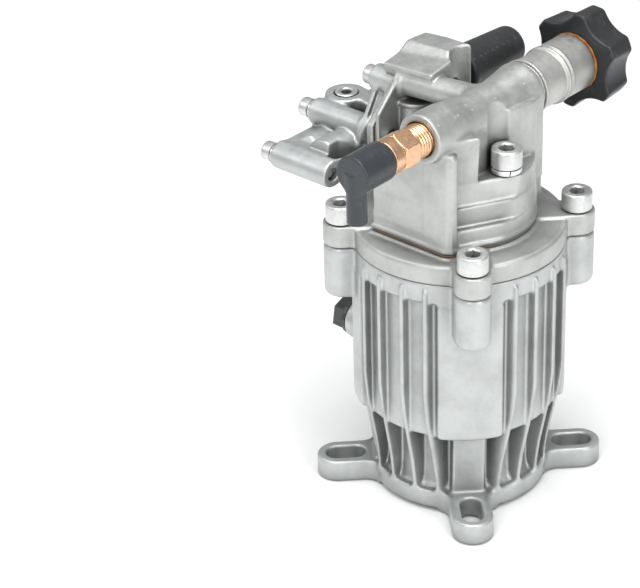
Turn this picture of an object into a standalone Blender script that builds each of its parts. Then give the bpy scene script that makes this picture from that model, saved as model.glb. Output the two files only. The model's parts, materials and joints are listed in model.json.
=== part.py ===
"""Axial piston pressure washer pump, flange down, as an assembly of separate pieces.

Lengths are in millimetres here and are turned into metres where meshes are made.
The pump axis is the Z axis of the working frame and the flange pads lie at z = 0.
The four ears and case bolts stand on the diagonals. The inlet points to +Y, the
thermal relief valve to -Y, and the outlet manifold is screwed on from the -X side.
"""

import math

import bmesh
import bpy
from mathutils import Matrix, Vector

MM = 0.001
GAP = 0.3                        # clearance between pieces that touch
DIAGONALS = (45.0, 135.0, 225.0, 315.0)

# Engine flange
EAR_TIP_R = 62.5
EAR_HALF_WIDTH = 8.85
EAR_FILLET_R = 7.2
PLATE_R = 38.3
PLATE_TOP = 10.0
PAD_RELIEF = 1.4
PAD_HALF_WIDTH = 12.7
PAD_INNER_R = 34.0
SLOT_INNER_R = 41.1
SLOT_OUTER_R = 58.6
SLOT_HALF_WIDTH = 4.53

# Crankcase
NECK_R = 33.0
SKIRT_Z = 41.0
BODY_R = 43.3
RING_R = 45.0
RING_Z = 106.5
CASE_TOP = 116.0
CAVITY_R = 38.0
FIN_OFFSETS = (-17.3, -6.0, 6.0, 17.3)
FIN_THICK = 2.0
FIN_OUTER = ((38.4, 9.0), (40.3, 25.0), (44.9, 50.0), (46.0, 62.0), (46.0, 112.0), (45.4, 113.0))
PANEL_HALF_WIDTH = 13.8
PANEL_R = 45.5
GUSSET_HALF_WIDTH = 7.0
BOLT_R = 49.5
BOSS_R = 7.7
BOSS_BOTTOM = 91.5
OIL_BOSS_R = 9.2
OIL_BOSS_X = -47.8
OIL_Y = -11.6
OIL_Z = 63.5

# Bearing, seal and swash plate
SHAFT_R = 15.0
SHAFT_BORE_R = 9.55
KEYWAY_WIDTH = 4.8
KEYWAY_DEPTH = 2.4
SHAFT_BOTTOM = 3.0
SHAFT_TOP = 60.0
SHAFT_BORE_TOP = 57.0
BEARING_R = 27.5
BEARING_Z = (15.3, 28.3)
BALL_R = 4.0
BALL_PITCH_R = 21.25
BALLS = 9
SEAL_POCKET_R = 21.3
SEAL_POCKET_TOP = 12.5
TILT = math.radians(12.0)
SWASH_R = 27.0
SWASH_BOTTOM = 48.0
SWASH_CENTRE_Z = 66.0

# Pistons
PISTON_ANGLES = (60.0, 180.0, 300.0)
PISTON_PITCH_R = 19.0
PISTON_R = 6.0
PISTON_BORE_R = 6.08
PISTON_BOTTOM = 78.6
PISTON_TOP = 140.0
RETAINER_Z = (81.5, 84.5)
SPRING_TOP = 106.0
SPRING_R = 8.0
SPRING_WIRE_R = 1.0
SPRING_TURNS = 4.5
CHAMBER_R = 7.0
CHAMBER_TOP = 163.0
SEAL_R = 10.2
SEAT_Z = 152.0

# Guide flange and pump head
DISC_R = 44.5
DISC_Z = (CASE_TOP + GAP, 124.6)
LUG_TOP = 125.6
GUIDE_R = 30.5
GUIDE_BOTTOM = 106.3
HEAD_FOOT = 126.8
HEAD_FACE_Y = -33.0
HEAD_FACE_X = (-16.6, 22.2)
HEAD_ROUND_R = 31.5
HEAD_BACK_Y = 28.0
HEAD_STOREYS = ((-0.6, 135.5), (0.3, 144.5), (1.1, 168.0))
SHOULDER_TOP = 176.0
RECESS_X = 18.0
RECESS_Y = (-17.6, 11.2)
POCKET_R = 7.6
FLANGE_X = -34.4
HEAD_BOLT_R = 24.5
HEAD_BOLT_ANGLES = (0.0, 120.0, 240.0)
HEAD_SEAT_Z = 153.5
GALLERY_X = 10.0
THERMAL_Z = 177.7
INLET_Z = 175.0
GALLERY_ENDS = (-38.0, 28.0)

# M8 and M5 socket screws
M8_R = 4.0
M8_HOLE_R = 4.4
M8_HEAD_R = 6.5
M8_HEAD = 8.0
M8_WASHER = 2.1
M5_R = 2.5
M5_HOLE_R = 2.9
M5_HEAD_R = 4.25
M5_HEAD = 5.0
M5_WASHER = 1.3

# Outlet manifold on the -X side: (y, z, end of boss x, boss radius)
MANIFOLD_FACE_X = -35.6
MANIFOLD_SCREWS = ((-30.0, 142.0, -74.0, 5.8), (-5.0, 153.2, -74.5, 5.8), (5.0, 173.0, -46.5, 5.8))
MANIFOLD_END_X = -73.5
SLAB_TOP = 148.0
SLAB_BOTTOM = 137.0
PLUG_XY = (-67.5, 7.0)
PLUG_TOP = 159.3
BLOCK_X = (-41.0, -15.0)
BLOCK_Y = (-2.0, 28.5)
BLOCK_CREASE_Y = 17.3
BLOCK_LIP_Y = 12.0
BLOCK_LIP_Z = 180.2
REGULATOR_X = -26.5
REGULATOR_Z = 171.2
OUTLET_X = -57.0
OUTLET_Z = 147.0
OUTLET_FACE_Y = 27.0
LOW_BOSS_START = 43.2
BOSS_START = 37.0
KNOB_LENGTH = 40.0

# Inlet swivel
NECK_Y = (28.6, 63.0)
NECK_TIP_Y = 69.4
HOSE_WASHER = 2.5
NUT_Y = (64.3, 79.3)
NUT_TIP_R = 21.7
NUT_VALLEY_R = 17.4
NUT_LOBES = 6
NUT_TURN = 36.0
NUT_BLUNT = 7.5

# Thermal relief valve, measured outwards from the face of its boss
THERMAL_THREAD = 7.5
THERMAL_HEX = 17.0
THERMAL_COLLAR = 22.6
THERMAL_CAP = (22.9, 40.7)
SPOUT_AT = (-1.0, 37.0)
SPOUT_LENGTH = 21.9

BIG = 36
MID = 18
SMALL = 10
RACE_SIDES = 24
SCREW_SIDES = 12

frame = None


# ---------------------------------------------------------------- mesh tools

def clear_scene():
    for item in list(bpy.data.objects):
        bpy.data.objects.remove(item, do_unlink=True)


def to_object(mesh_data, name):
    """Turns a bmesh built in millimetres into a linked object in metres."""
    bmesh.ops.recalc_face_normals(mesh_data, faces=mesh_data.faces)
    bmesh.ops.scale(mesh_data, vec=(MM, MM, MM), verts=mesh_data.verts)
    mesh = bpy.data.meshes.new(name)
    mesh_data.to_mesh(mesh)
    mesh_data.free()
    item = bpy.data.objects.new(name, mesh)
    bpy.context.scene.collection.objects.link(item)
    return item


def extrude(outline, low, high, name="block"):
    """A prism over a counter-clockwise outline in the XY plane."""
    data = bmesh.new()
    bottom = [data.verts.new((x, y, low)) for x, y in outline]
    top = [data.verts.new((x, y, high)) for x, y in outline]
    data.faces.new(list(reversed(bottom)))
    data.faces.new(top)
    for i in range(len(outline)):
        j = (i + 1) % len(outline)
        data.faces.new((bottom[i], bottom[j], top[j], top[i]))
    return to_object(data, name)


def turned(profile, segments=MID, name="turned"):
    """Revolves a closed (radius, height) profile about Z. Points on the axis become one vertex."""
    data = bmesh.new()
    rings = []
    for radius, height in profile:
        if radius < 1e-6:
            rings.append([data.verts.new((0.0, 0.0, height))])
            continue
        ring = []
        for k in range(segments):
            angle = 2.0 * math.pi * k / segments
            ring.append(data.verts.new((radius * math.cos(angle), radius * math.sin(angle), height)))
        rings.append(ring)
    for first, second in zip(rings, rings[1:] + rings[:1]):
        if len(first) == 1 and len(second) == 1:
            continue
        for k in range(segments):
            n = (k + 1) % segments
            corners = [first[k % len(first)], first[n % len(first)]]
            corners += [second[n % len(second)], second[k % len(second)]]
            unique = list(dict.fromkeys(corners))
            data.faces.new(unique)
    return to_object(data, name)


def cylinder(radius, low, high, segments=MID):
    return turned(((0.0, low), (radius, low), (radius, high), (0.0, high)), segments)


def box(x_range, y_range, z_range):
    (x0, x1), (y0, y1) = x_range, y_range
    return extrude(((x0, y0), (x1, y0), (x1, y1), (x0, y1)), *z_range)


def move(item, matrix):
    """Applies a transform in millimetres to the mesh itself."""
    scaled = matrix.copy()
    scaled.translation = matrix.translation * MM
    item.data.transform(scaled)
    return item


def shift(item, x=0.0, y=0.0, z=0.0):
    return move(item, Matrix.Translation((x, y, z)))


def turn(item, degrees, axis="Z"):
    return move(item, Matrix.Rotation(math.radians(degrees), 4, axis))


def along_y(item, x, z, y=0.0):
    """Lays a piece built along Z down, so that its +Z points to +Y."""
    return shift(turn(item, -90.0, "X"), x, y, z)


def along_minus_x(item, y, z, x=0.0):
    """Lays a piece built along Z down, so that its +Z points to -X."""
    return shift(turn(item, -90.0, "Y"), x, y, z)


def evaluated_mesh(item):
    graph = bpy.context.evaluated_depsgraph_get()
    graph.update()
    return bpy.data.meshes.new_from_object(item.evaluated_get(graph))


def is_closed(mesh):
    data = bmesh.new()
    data.from_mesh(mesh)
    closed = all(len(edge.link_faces) == 2 for edge in data.edges)
    data.free()
    return closed


def combine(item, operation, tools):
    """Applies one Boolean per tool. The MANIFOLD solver steps in where EXACT leaves an open edge."""
    for tool in tools:
        step = item.modifiers.new(operation, "BOOLEAN")
        step.operation = operation
        step.solver = "EXACT"
        step.object = tool
        result = evaluated_mesh(item)
        if not is_closed(result):
            step.solver = "MANIFOLD"
            result = evaluated_mesh(item)
        item.modifiers.clear()
        item.data = result
        bpy.data.objects.remove(tool, do_unlink=True)
    return item


def join(item, *tools):
    return combine(item, "UNION", tools)


def cut(item, *tools):
    return combine(item, "DIFFERENCE", tools)


def keep(item, *tools):
    return combine(item, "INTERSECT", tools)


def arc(centre, radius, start, end, steps):
    """Points on an arc, both ends included, angles in degrees."""
    points = []
    for k in range(steps + 1):
        angle = math.radians(start + (end - start) * k / steps)
        points.append((centre[0] + radius * math.cos(angle), centre[1] + radius * math.sin(angle)))
    return points


def polar(radius, degrees):
    angle = math.radians(degrees)
    return radius * math.cos(angle), radius * math.sin(angle)


def slice_x(section, low, high):
    """A prism over a (y, z) section, between two x positions."""
    block = extrude(section, low, high)
    turn(block, 90.0, "X")
    return turn(block, 90.0, "Z")


def slice_y(section, low, high):
    """A prism over an (x, z) section, between two y positions."""
    block = extrude(section, -high, -low)
    return turn(block, 90.0, "X")


def hexagon(across_flats, low, high, turned_by=0.0):
    corners = [polar(across_flats / math.sqrt(3.0), 60.0 * k + turned_by) for k in range(6)]
    return extrude(corners, low, high)


# ---------------------------------------------------------------- materials

def material(name, colour, roughness, metallic):
    made = bpy.data.materials.new(name)
    made.use_nodes = True
    shader = made.node_tree.nodes["Principled BSDF"]
    shader.inputs["Base Color"].default_value = (*colour, 1.0)
    shader.inputs["Roughness"].default_value = roughness
    shader.inputs["Metallic"].default_value = metallic
    made.diffuse_color = (*colour, 1.0)
    return made


def make_materials():
    return {
        "cast_aluminium": material("cast_aluminium", (0.66, 0.67, 0.67), 0.45, 1.0),
        "zinc_steel": material("zinc_steel", (0.62, 0.63, 0.63), 0.35, 1.0),
        "ground_steel": material("ground_steel", (0.55, 0.56, 0.58), 0.22, 1.0),
        "spring_steel": material("spring_steel", (0.42, 0.43, 0.45), 0.30, 1.0),
        "brass": material("brass", (0.80, 0.52, 0.30), 0.30, 1.0),
        "black_plastic": material("black_plastic", (0.020, 0.021, 0.022), 0.42, 0.0),
        "black_rubber": material("black_rubber", (0.035, 0.038, 0.042), 0.55, 0.0),
        "gasket_paper": material("gasket_paper", (0.30, 0.20, 0.12), 0.80, 0.0),
        "ring_amber": material("ring_amber", (0.55, 0.27, 0.08), 0.50, 0.0),
        "filter_mesh": material("filter_mesh", (0.50, 0.52, 0.54), 0.40, 1.0),
    }


def merge_flat_faces(mesh):
    """Removes the edges that Booleans leave inside flat faces and along straight edges."""
    data = bmesh.new()
    data.from_mesh(mesh)
    bmesh.ops.dissolve_limit(data, angle_limit=math.radians(0.3), verts=data.verts, edges=data.edges)
    data.to_mesh(mesh)
    data.free()


def finish(item, name, look, at=(0.0, 0.0, 0.0), sharp=35.0):
    """Names a piece, puts its origin at a point in millimetres and hangs it on the frame empty."""
    merge_flat_faces(item.data)
    move(item, Matrix.Translation(-Vector(at)))
    item.name = name
    item.data.name = name
    item.data.materials.clear()
    item.data.materials.append(look)
    item.data.shade_smooth()
    item.data.set_sharp_from_angle(angle=math.radians(sharp))
    item.parent = frame
    item.location = Vector(at) * MM
    return item


# ---------------------------------------------------------------- crankcase

def ear_outline():
    """Flange plate outline: a disc with four ears on the diagonals, blended by concave arcs."""
    reach = EAR_TIP_R - EAR_HALF_WIDTH
    fillet_y = EAR_HALF_WIDTH + EAR_FILLET_R
    fillet_x = math.sqrt((PLATE_R + EAR_FILLET_R) ** 2 - fillet_y ** 2)
    meet = math.degrees(math.atan2(fillet_y, fillet_x))
    quarter = arc((fillet_x, -fillet_y), EAR_FILLET_R, 180.0 - meet, 90.0, 4)
    quarter += arc((reach, 0.0), EAR_HALF_WIDTH, -90.0, 90.0, 12)
    quarter += arc((fillet_x, fillet_y), EAR_FILLET_R, 270.0, 180.0 + meet, 4)
    quarter += arc((0.0, 0.0), PLATE_R, meet, 90.0 - meet, 6)[1:-1]
    outline = []
    for ear in DIAGONALS:
        c, s = polar(1.0, ear)
        outline += [(x * c - y * s, x * s + y * c) for x, y in quarter]
    return outline


def slot_outline(half_width, inner, outer):
    return (arc((outer - half_width, 0.0), half_width, -90.0, 90.0, 6)
            + arc((inner + half_width, 0.0), half_width, 90.0, 270.0, 6))


def lug_outline(inner, radius):
    """A straight lug along +X that ends in a half circle at the bolt radius."""
    return [(inner, -radius)] + arc((BOLT_R, 0.0), radius, -90.0, 90.0, 8) + [(inner, radius)]


def flange_plate():
    plate = extrude(ear_outline(), PAD_RELIEF, PLATE_TOP)
    pads = extrude(ear_outline(), 0.0, PAD_RELIEF + 0.5)
    far = EAR_TIP_R + 5.0
    cross = box((-far, far), (-PAD_HALF_WIDTH, PAD_HALF_WIDTH), (-1.0, PLATE_TOP))
    join(cross, box((-PAD_HALF_WIDTH, PAD_HALF_WIDTH), (-far, far), (-1.0, PLATE_TOP)))
    turn(cross, 45.0)
    keep(pads, cross)
    cut(pads, cylinder(PAD_INNER_R, -1.0, PLATE_TOP, MID))
    join(plate, pads)
    for ear in DIAGONALS:
        outline = slot_outline(SLOT_HALF_WIDTH, SLOT_INNER_R, SLOT_OUTER_R)
        cut(plate, turn(extrude(outline, -1.0, PLATE_TOP + 1.0), ear))
    return plate


def case_fins():
    """Straight fins, parallel in each quadrant, trimmed by one turned outer profile."""
    fins = None
    reach = 52.0
    for side in range(4):
        for offset in FIN_OFFSETS:
            half = FIN_THICK / 2.0
            fin = box((offset - half, offset + half), (-reach, -24.0), (PLATE_TOP - 1.0, CASE_TOP - 2.0))
            turn(fin, 90.0 * side)
            fins = fin if fins is None else join(fins, fin)
    profile = ((0.0, FIN_OUTER[0][1]),) + FIN_OUTER + ((0.0, FIN_OUTER[-1][1]),)
    return keep(fins, turned(profile, BIG))


def corner_panel():
    """The smooth raised panel under one case bolt boss, with the gusset that carries it to the ear."""
    panel = box((30.0, 50.0), (-PANEL_HALF_WIDTH, PANEL_HALF_WIDTH), (SKIRT_Z, RING_Z))
    keep(panel, cylinder(PANEL_R, SKIRT_Z - 5.0, RING_Z + 5.0, BIG))
    side = ((20.0, 8.0), (36.8, 8.0), (37.2, 13.5), (41.6, SKIRT_Z + 1.0), (20.0, SKIRT_Z + 1.0))
    gusset = extrude(side, -GUSSET_HALF_WIDTH, GUSSET_HALF_WIDTH)
    turn(gusset, 90.0, "X")
    return join(panel, gusset)


def crankcase(looks):
    body = turned(((0.0, 5.0), (NECK_R + 1.5, 5.0), (NECK_R + 1.2, 12.0), (NECK_R, 16.0),
                   (NECK_R, SKIRT_Z), (BODY_R, SKIRT_Z), (BODY_R, RING_Z - 1.0), (RING_R, RING_Z),
                   (RING_R, CASE_TOP), (0.0, CASE_TOP)), BIG)
    join(body, flange_plate(), case_fins())
    for corner in DIAGONALS:
        join(body, turn(corner_panel(), corner))
        join(body, turn(extrude(lug_outline(30.0, BOSS_R), BOSS_BOTTOM, CASE_TOP), corner))
    join(body, along_minus_x(cylinder(OIL_BOSS_R, 40.0, -OIL_BOSS_X, MID), OIL_Y, OIL_Z))
    bore = turned(((0.0, -1.0), (SEAL_POCKET_R, -1.0), (SEAL_POCKET_R, SEAL_POCKET_TOP),
                   (17.5, SEAL_POCKET_TOP), (17.5, BEARING_Z[0] - GAP),
                   (BEARING_R + GAP, BEARING_Z[0] - GAP), (BEARING_R + GAP, 43.5),
                   (CAVITY_R, 47.0), (CAVITY_R, CASE_TOP + 1.0), (0.0, CASE_TOP + 1.0)), BIG)
    cut(body, bore)
    for corner in DIAGONALS:
        cut(body, shift(cylinder(M8_HOLE_R, 95.0, CASE_TOP + 1.0, SMALL), *polar(BOLT_R, corner)))
    cut(body, along_minus_x(cylinder(5.4, 30.0, 60.0, SMALL), OIL_Y, OIL_Z))
    return finish(body, "crankcase", looks["cast_aluminium"])


def oil_plug(looks):
    plug = cylinder(5.0, -10.0, 0.6, SMALL)
    join(plug, cylinder(8.4, GAP, 2.0, MID), hexagon(14.5, 1.5, 7.4, 10.0))
    along_minus_x(plug, OIL_Y, OIL_Z, OIL_BOSS_X)
    finish(plug, "oil_plug", looks["black_plastic"], (OIL_BOSS_X, OIL_Y, OIL_Z))


# ---------------------------------------------------------------- rotating group

def drive_shaft(looks):
    profile = ((0.0, SHAFT_BORE_TOP), (SHAFT_BORE_R, SHAFT_BORE_TOP - 1.0),
               (SHAFT_BORE_R, SHAFT_BOTTOM + 0.8), (SHAFT_BORE_R + 0.8, SHAFT_BOTTOM),
               (SHAFT_R - 0.6, SHAFT_BOTTOM), (SHAFT_R, SHAFT_BOTTOM + 0.8),
               (SHAFT_R, BEARING_Z[1] + GAP), (19.0, BEARING_Z[1] + GAP), (19.0, SWASH_BOTTOM - GAP),
               (SHAFT_R, SWASH_BOTTOM - GAP), (SHAFT_R, SHAFT_TOP - 0.8), (SHAFT_R - 0.8, SHAFT_TOP),
               (0.0, SHAFT_TOP))
    shaft = turned(profile, MID)
    half = KEYWAY_WIDTH / 2.0
    cut(shaft, box((0.0, SHAFT_BORE_R + KEYWAY_DEPTH), (-half, half), (0.0, SHAFT_BORE_TOP - 4.0)))
    finish(shaft, "drive_shaft", looks["ground_steel"])


def tilted(item, height):
    """Turns a ring built about Z by the swash angle and lifts its centre on the shaft axis."""
    move(item, Matrix.Rotation(TILT, 4, "Y"))
    return shift(item, z=height)


def swash_plate(looks):
    plate = cylinder(SWASH_R, SWASH_BOTTOM, SWASH_CENTRE_Z + 20.0, MID)
    cut(plate, tilted(box((-60.0, 60.0), (-60.0, 60.0), (0.0, 60.0)), SWASH_CENTRE_Z))
    cut(plate, cylinder(SHAFT_R + GAP, 0.0, 120.0, MID))
    finish(plate, "swash_plate", looks["ground_steel"])


def ring(inner, outer, low, high, segments=MID):
    return turned(((inner, low), (outer, low), (outer, high), (inner, high)), segments)


def thrust_bearing(looks):
    """A caged needle ring on the tilted face, and the race that the piston feet ride on."""
    inner, outer = 16.6, 25.6
    cage = ring(inner, outer, GAP, 2.4)
    for k in range(12):
        window = box((inner + 2.0, outer - 2.0), (-1.0, 1.0), (-1.0, 4.0))
        cut(cage, turn(window, 30.0 * k))
    finish(tilted(cage, SWASH_CENTRE_Z), "thrust_needle_cage", looks["spring_steel"])
    race = ring(inner, outer + 0.6, 2.7, 5.2)
    finish(tilted(race, SWASH_CENTRE_Z), "thrust_race", looks["ground_steel"])


def race_groove(side):
    """The ball groove of one race: side +1 for the outer race and -1 for the inner one."""
    middle = sum(BEARING_Z) / 2.0
    points = []
    for angle in (-50.0, -17.0, 17.0, 50.0):
        x, y = polar(BALL_R + 0.35, angle)
        points.append((BALL_PITCH_R + side * x, middle + y))
    return points


def main_bearing(looks):
    low, high = BEARING_Z
    lip = BEARING_R - 3.4
    outer = [(lip, low), (BEARING_R, low), (BEARING_R, high), (lip, high)] + race_groove(1)[::-1]
    finish(turned(outer, RACE_SIDES), "bearing_outer_race", looks["ground_steel"])
    inner = [(SHAFT_R + GAP, high), (SHAFT_R + GAP, low), (18.6, low)] + race_groove(-1) + [(18.6, high)]
    finish(turned(inner, RACE_SIDES), "bearing_inner_race", looks["ground_steel"])
    middle = (low + high) / 2.0
    cage = ring(BALL_PITCH_R - 0.9, BALL_PITCH_R + 0.9, middle - 2.0, middle + 2.0, MID)
    for k in range(BALLS):
        ball = turned([(BALL_R * math.cos(a), BALL_R * math.sin(a))
                       for a in [math.radians(-90.0 + 30.0 * n) for n in range(7)]], 8)
        x, y = polar(BALL_PITCH_R, 360.0 * k / BALLS)
        join(cage, shift(ball, x, y, middle))
    finish(cage, "bearing_ball_cage", looks["ground_steel"])


def shaft_seal(looks):
    seal = turned(((SHAFT_R + GAP, 4.5), (SHAFT_R + 1.6, 3.6), (SEAL_POCKET_R - GAP, 3.6),
                   (SEAL_POCKET_R - GAP, 11.8), (SEAL_POCKET_R - 1.6, 11.8), (SEAL_POCKET_R - 1.8, 5.4),
                   (SHAFT_R + 2.2, 5.6), (SHAFT_R + 1.3, 9.5), (SHAFT_R + GAP, 7.5)), MID)
    finish(seal, "shaft_oil_seal", looks["black_rubber"])


# ---------------------------------------------------------------- pistons and valves

def piston(looks, number, x, y):
    foot = PISTON_BOTTOM
    body = turned(((0.0, foot), (PISTON_R - 2.0, foot + 0.1), (PISTON_R - 0.5, foot + 0.8),
                   (PISTON_R, foot + 2.0), (PISTON_R, PISTON_TOP - 0.8), (PISTON_R - 0.8, PISTON_TOP),
                   (0.0, PISTON_TOP)), MID)
    finish(shift(body, x, y), f"piston_{number}", looks["ground_steel"], (x, y, PISTON_BOTTOM))


def spring_retainer(looks, number, x, y):
    low, high = RETAINER_Z
    inner = PISTON_R + 0.15
    cup = turned(((inner, low), (8.4, low), (10.2, low + 1.2), (10.2, high), (inner, high)), MID)
    finish(shift(cup, x, y), f"spring_retainer_{number}", looks["spring_steel"], (x, y, low))


def coil(radius, wire_r, turns, low, high, sides=4, steps=8):
    """A compression spring with flat-capped ends, built as one swept tube."""
    data = bmesh.new()
    count = int(turns * steps)
    bottom, top = low + wire_r, high - wire_r
    rings = []
    for k in range(count + 1):
        angle = 2.0 * math.pi * k / steps
        height = bottom + (top - bottom) * k / count
        loop = []
        for s in range(sides):
            t = 2.0 * math.pi * s / sides
            r = radius + wire_r * math.cos(t)
            rise = height + wire_r * math.sin(t)
            loop.append(data.verts.new((r * math.cos(angle), r * math.sin(angle), rise)))
        rings.append(loop)
    for first, second in zip(rings, rings[1:]):
        for s in range(sides):
            n = (s + 1) % sides
            data.faces.new((first[s], second[s], second[n], first[n]))
    data.faces.new(rings[0])
    data.faces.new(list(reversed(rings[-1])))
    return to_object(data, "coil")


def piston_spring(looks, number, x, y):
    spring = coil(SPRING_R, SPRING_WIRE_R, SPRING_TURNS, RETAINER_Z[1] + GAP, SPRING_TOP)
    finish(shift(spring, x, y), f"piston_spring_{number}", looks["spring_steel"], (x, y, SPRING_TOP), 60.0)


def piston_seal(looks, number, x, y):
    low, high = HEAD_FOOT + 0.6, HEAD_FOOT + 6.0
    seal = turned(((PISTON_BORE_R + 0.02, low), (SEAL_R - GAP, low), (SEAL_R - GAP, high), (8.8, high),
                   (8.0, high - 2.0), (7.2, high), (PISTON_BORE_R + 0.02, high)), MID)
    finish(shift(seal, x, y), f"piston_seal_{number}", looks["black_rubber"], (x, y, low))


def check_valve(looks, number, x, y):
    seat = turned(((3.0, SEAT_Z), (CHAMBER_R - 0.15, SEAT_Z), (CHAMBER_R - 0.15, SEAT_Z + 3.0),
                   (3.9, SEAT_Z + 3.0), (3.0, SEAT_Z + 2.2)), 20)
    finish(shift(seat, x, y), f"valve_seat_{number}", looks["ground_steel"], (x, y, SEAT_Z))
    low = SEAT_Z + 3.0 + 0.15
    poppet = turned(((0.0, low), (4.6, low), (4.6, low + 1.2), (1.6, low + 2.4), (1.6, low + 5.0),
                     (0.0, low + 5.0)), 16)
    finish(shift(poppet, x, y), f"valve_poppet_{number}", looks["ground_steel"], (x, y, low))


def hydraulic_group(looks):
    for number, angle in enumerate(PISTON_ANGLES, 1):
        x, y = polar(PISTON_PITCH_R, angle)
        piston(looks, number, x, y)
        spring_retainer(looks, number, x, y)
        piston_spring(looks, number, x, y)
        piston_seal(looks, number, x, y)
        check_valve(looks, number, x, y)


# ---------------------------------------------------------------- guide flange and head

def guide_flange(looks):
    body = turned(((0.0, GUIDE_BOTTOM), (GUIDE_R, GUIDE_BOTTOM), (GUIDE_R, DISC_Z[0]), (DISC_R, DISC_Z[0]),
                   (DISC_R, DISC_Z[1] - 0.5), (DISC_R - 0.6, DISC_Z[1]), (0.0, DISC_Z[1])), BIG)
    join(body, extrude(head_outline(1.6), DISC_Z[1] - 1.0, LUG_TOP))
    for corner in DIAGONALS:
        join(body, turn(extrude(lug_outline(20.0, BOSS_R), DISC_Z[0], LUG_TOP), corner))
    for corner in DIAGONALS:
        cut(body, shift(cylinder(M8_HOLE_R, 110.0, 130.0, SMALL), *polar(BOLT_R, corner)))
    for angle in HEAD_BOLT_ANGLES:
        cut(body, shift(cylinder(M8_HOLE_R, 108.0, 130.0, SMALL), *polar(HEAD_BOLT_R, angle)))
    for angle in PISTON_ANGLES:
        cut(body, shift(cylinder(PISTON_BORE_R, 100.0, 130.0, MID), *polar(PISTON_PITCH_R, angle)))
    finish(body, "guide_flange", looks["cast_aluminium"])


def head_outline(grow=0.0):
    """Plan of the head: flat -Y face, round +X side and a straight flange face on the -X side."""
    left, right = HEAD_FACE_X
    face = HEAD_FACE_Y - max(grow, 0.0)
    radius = HEAD_ROUND_R + grow
    points = [(left - max(grow, 0.0), face), (right - 3.5, face), (right - 0.9 + grow, face + 2.2)]
    points += arc((0.0, 0.0), radius, -33.0, 62.0, 12)
    points += [(8.0, HEAD_BACK_Y + grow), (-24.0, HEAD_BACK_Y + grow), (FLANGE_X + 6.0, 20.0)]
    points += [(FLANGE_X + 6.0, -12.0), (left - max(grow, 0.0), -20.0)]
    return points


def gasket(looks):
    plate = extrude(head_outline(0.6), LUG_TOP + GAP, HEAD_FOOT - GAP)
    for angle in HEAD_BOLT_ANGLES:
        cut(plate, shift(cylinder(M8_HOLE_R, 120.0, 130.0, SMALL), *polar(HEAD_BOLT_R, angle)))
    for angle in PISTON_ANGLES:
        cut(plate, shift(cylinder(8.0, 120.0, 130.0, MID), *polar(PISTON_PITCH_R, angle)))
    finish(plate, "head_gasket", looks["gasket_paper"])


def straight_gallery():
    return along_y(gallery_solid(), GALLERY_X, (THERMAL_Z + INLET_Z) / 2.0)


def gallery_solid():
    """Built along Z: each station is a circle whose centre drops evenly from valve to inlet."""
    stations = ((GALLERY_ENDS[0], 10.6), (-24.0, 10.6), (-14.0, 9.4), (-2.0, 9.0), (10.0, 9.6), (20.0, 11.2),
                (26.0, 12.4), (GALLERY_ENDS[1], 12.4))
    data = bmesh.new()
    rings = []
    for along, radius in stations:
        part = (along - GALLERY_ENDS[0]) / (GALLERY_ENDS[1] - GALLERY_ENDS[0])
        drop = (0.5 - part) * (THERMAL_Z - INLET_Z)
        loop = []
        for k in range(MID):
            x, y = polar(radius, 360.0 * k / MID)
            loop.append(data.verts.new((x, y - drop, along)))
        rings.append(loop)
    for first, second in zip(rings, rings[1:]):
        for k in range(MID):
            n = (k + 1) % MID
            data.faces.new((first[k], first[n], second[n], second[k]))
    data.faces.new(list(reversed(rings[0])))
    data.faces.new(rings[-1])
    return to_object(data, "gallery")


def valve_shoulder():
    """The upright block behind the -Y face that carries the thermal valve boss."""
    right = HEAD_FACE_X[1]
    outline = ((0.5, HEAD_FACE_Y), (right - 3.5, HEAD_FACE_Y), (right - 0.9, HEAD_FACE_Y + 2.2),
               (24.4, -21.5), (24.4, RECESS_Y[0]), (0.5, RECESS_Y[0]))
    return extrude(outline, 160.0, SHOULDER_TOP)


def unloader_block():
    """The unloader housing: flat top, a facet that falls away to -Y, and a lip over the screw boss."""
    y0, y1 = BLOCK_Y
    section = ((BLOCK_LIP_Y, 162.0), (y1, 162.0), (y1, 187.6), (BLOCK_CREASE_Y, 187.8), (y0, 184.6),
               (y0, BLOCK_LIP_Z), (BLOCK_LIP_Y, BLOCK_LIP_Z))
    return slice_x(section, *BLOCK_X)


def head_body():
    """Stacked storeys, each a little smaller than the one below, then the gallery and the side pieces."""
    body = extrude(head_outline(1.2), HEAD_FOOT, HEAD_FOOT + 1.8)
    low = HEAD_FOOT + 1.0
    for inset, top in HEAD_STOREYS:
        join(body, extrude(head_outline(-inset), low, top))
        low = top - 1.0
    join(body, valve_shoulder(), straight_gallery())
    join(body, along_minus_x(cylinder(5.2, -2.0, -FLANGE_X, MID), 5.0, 174.0))
    section = ((-13.0, 128.5), (26.0, 128.5), (26.0, 170.0), (11.0, 178.0), (-1.0, 178.0), (-13.0, 166.0))
    return join(body, slice_x(section, FLANGE_X, -24.0), unloader_block())


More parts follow.
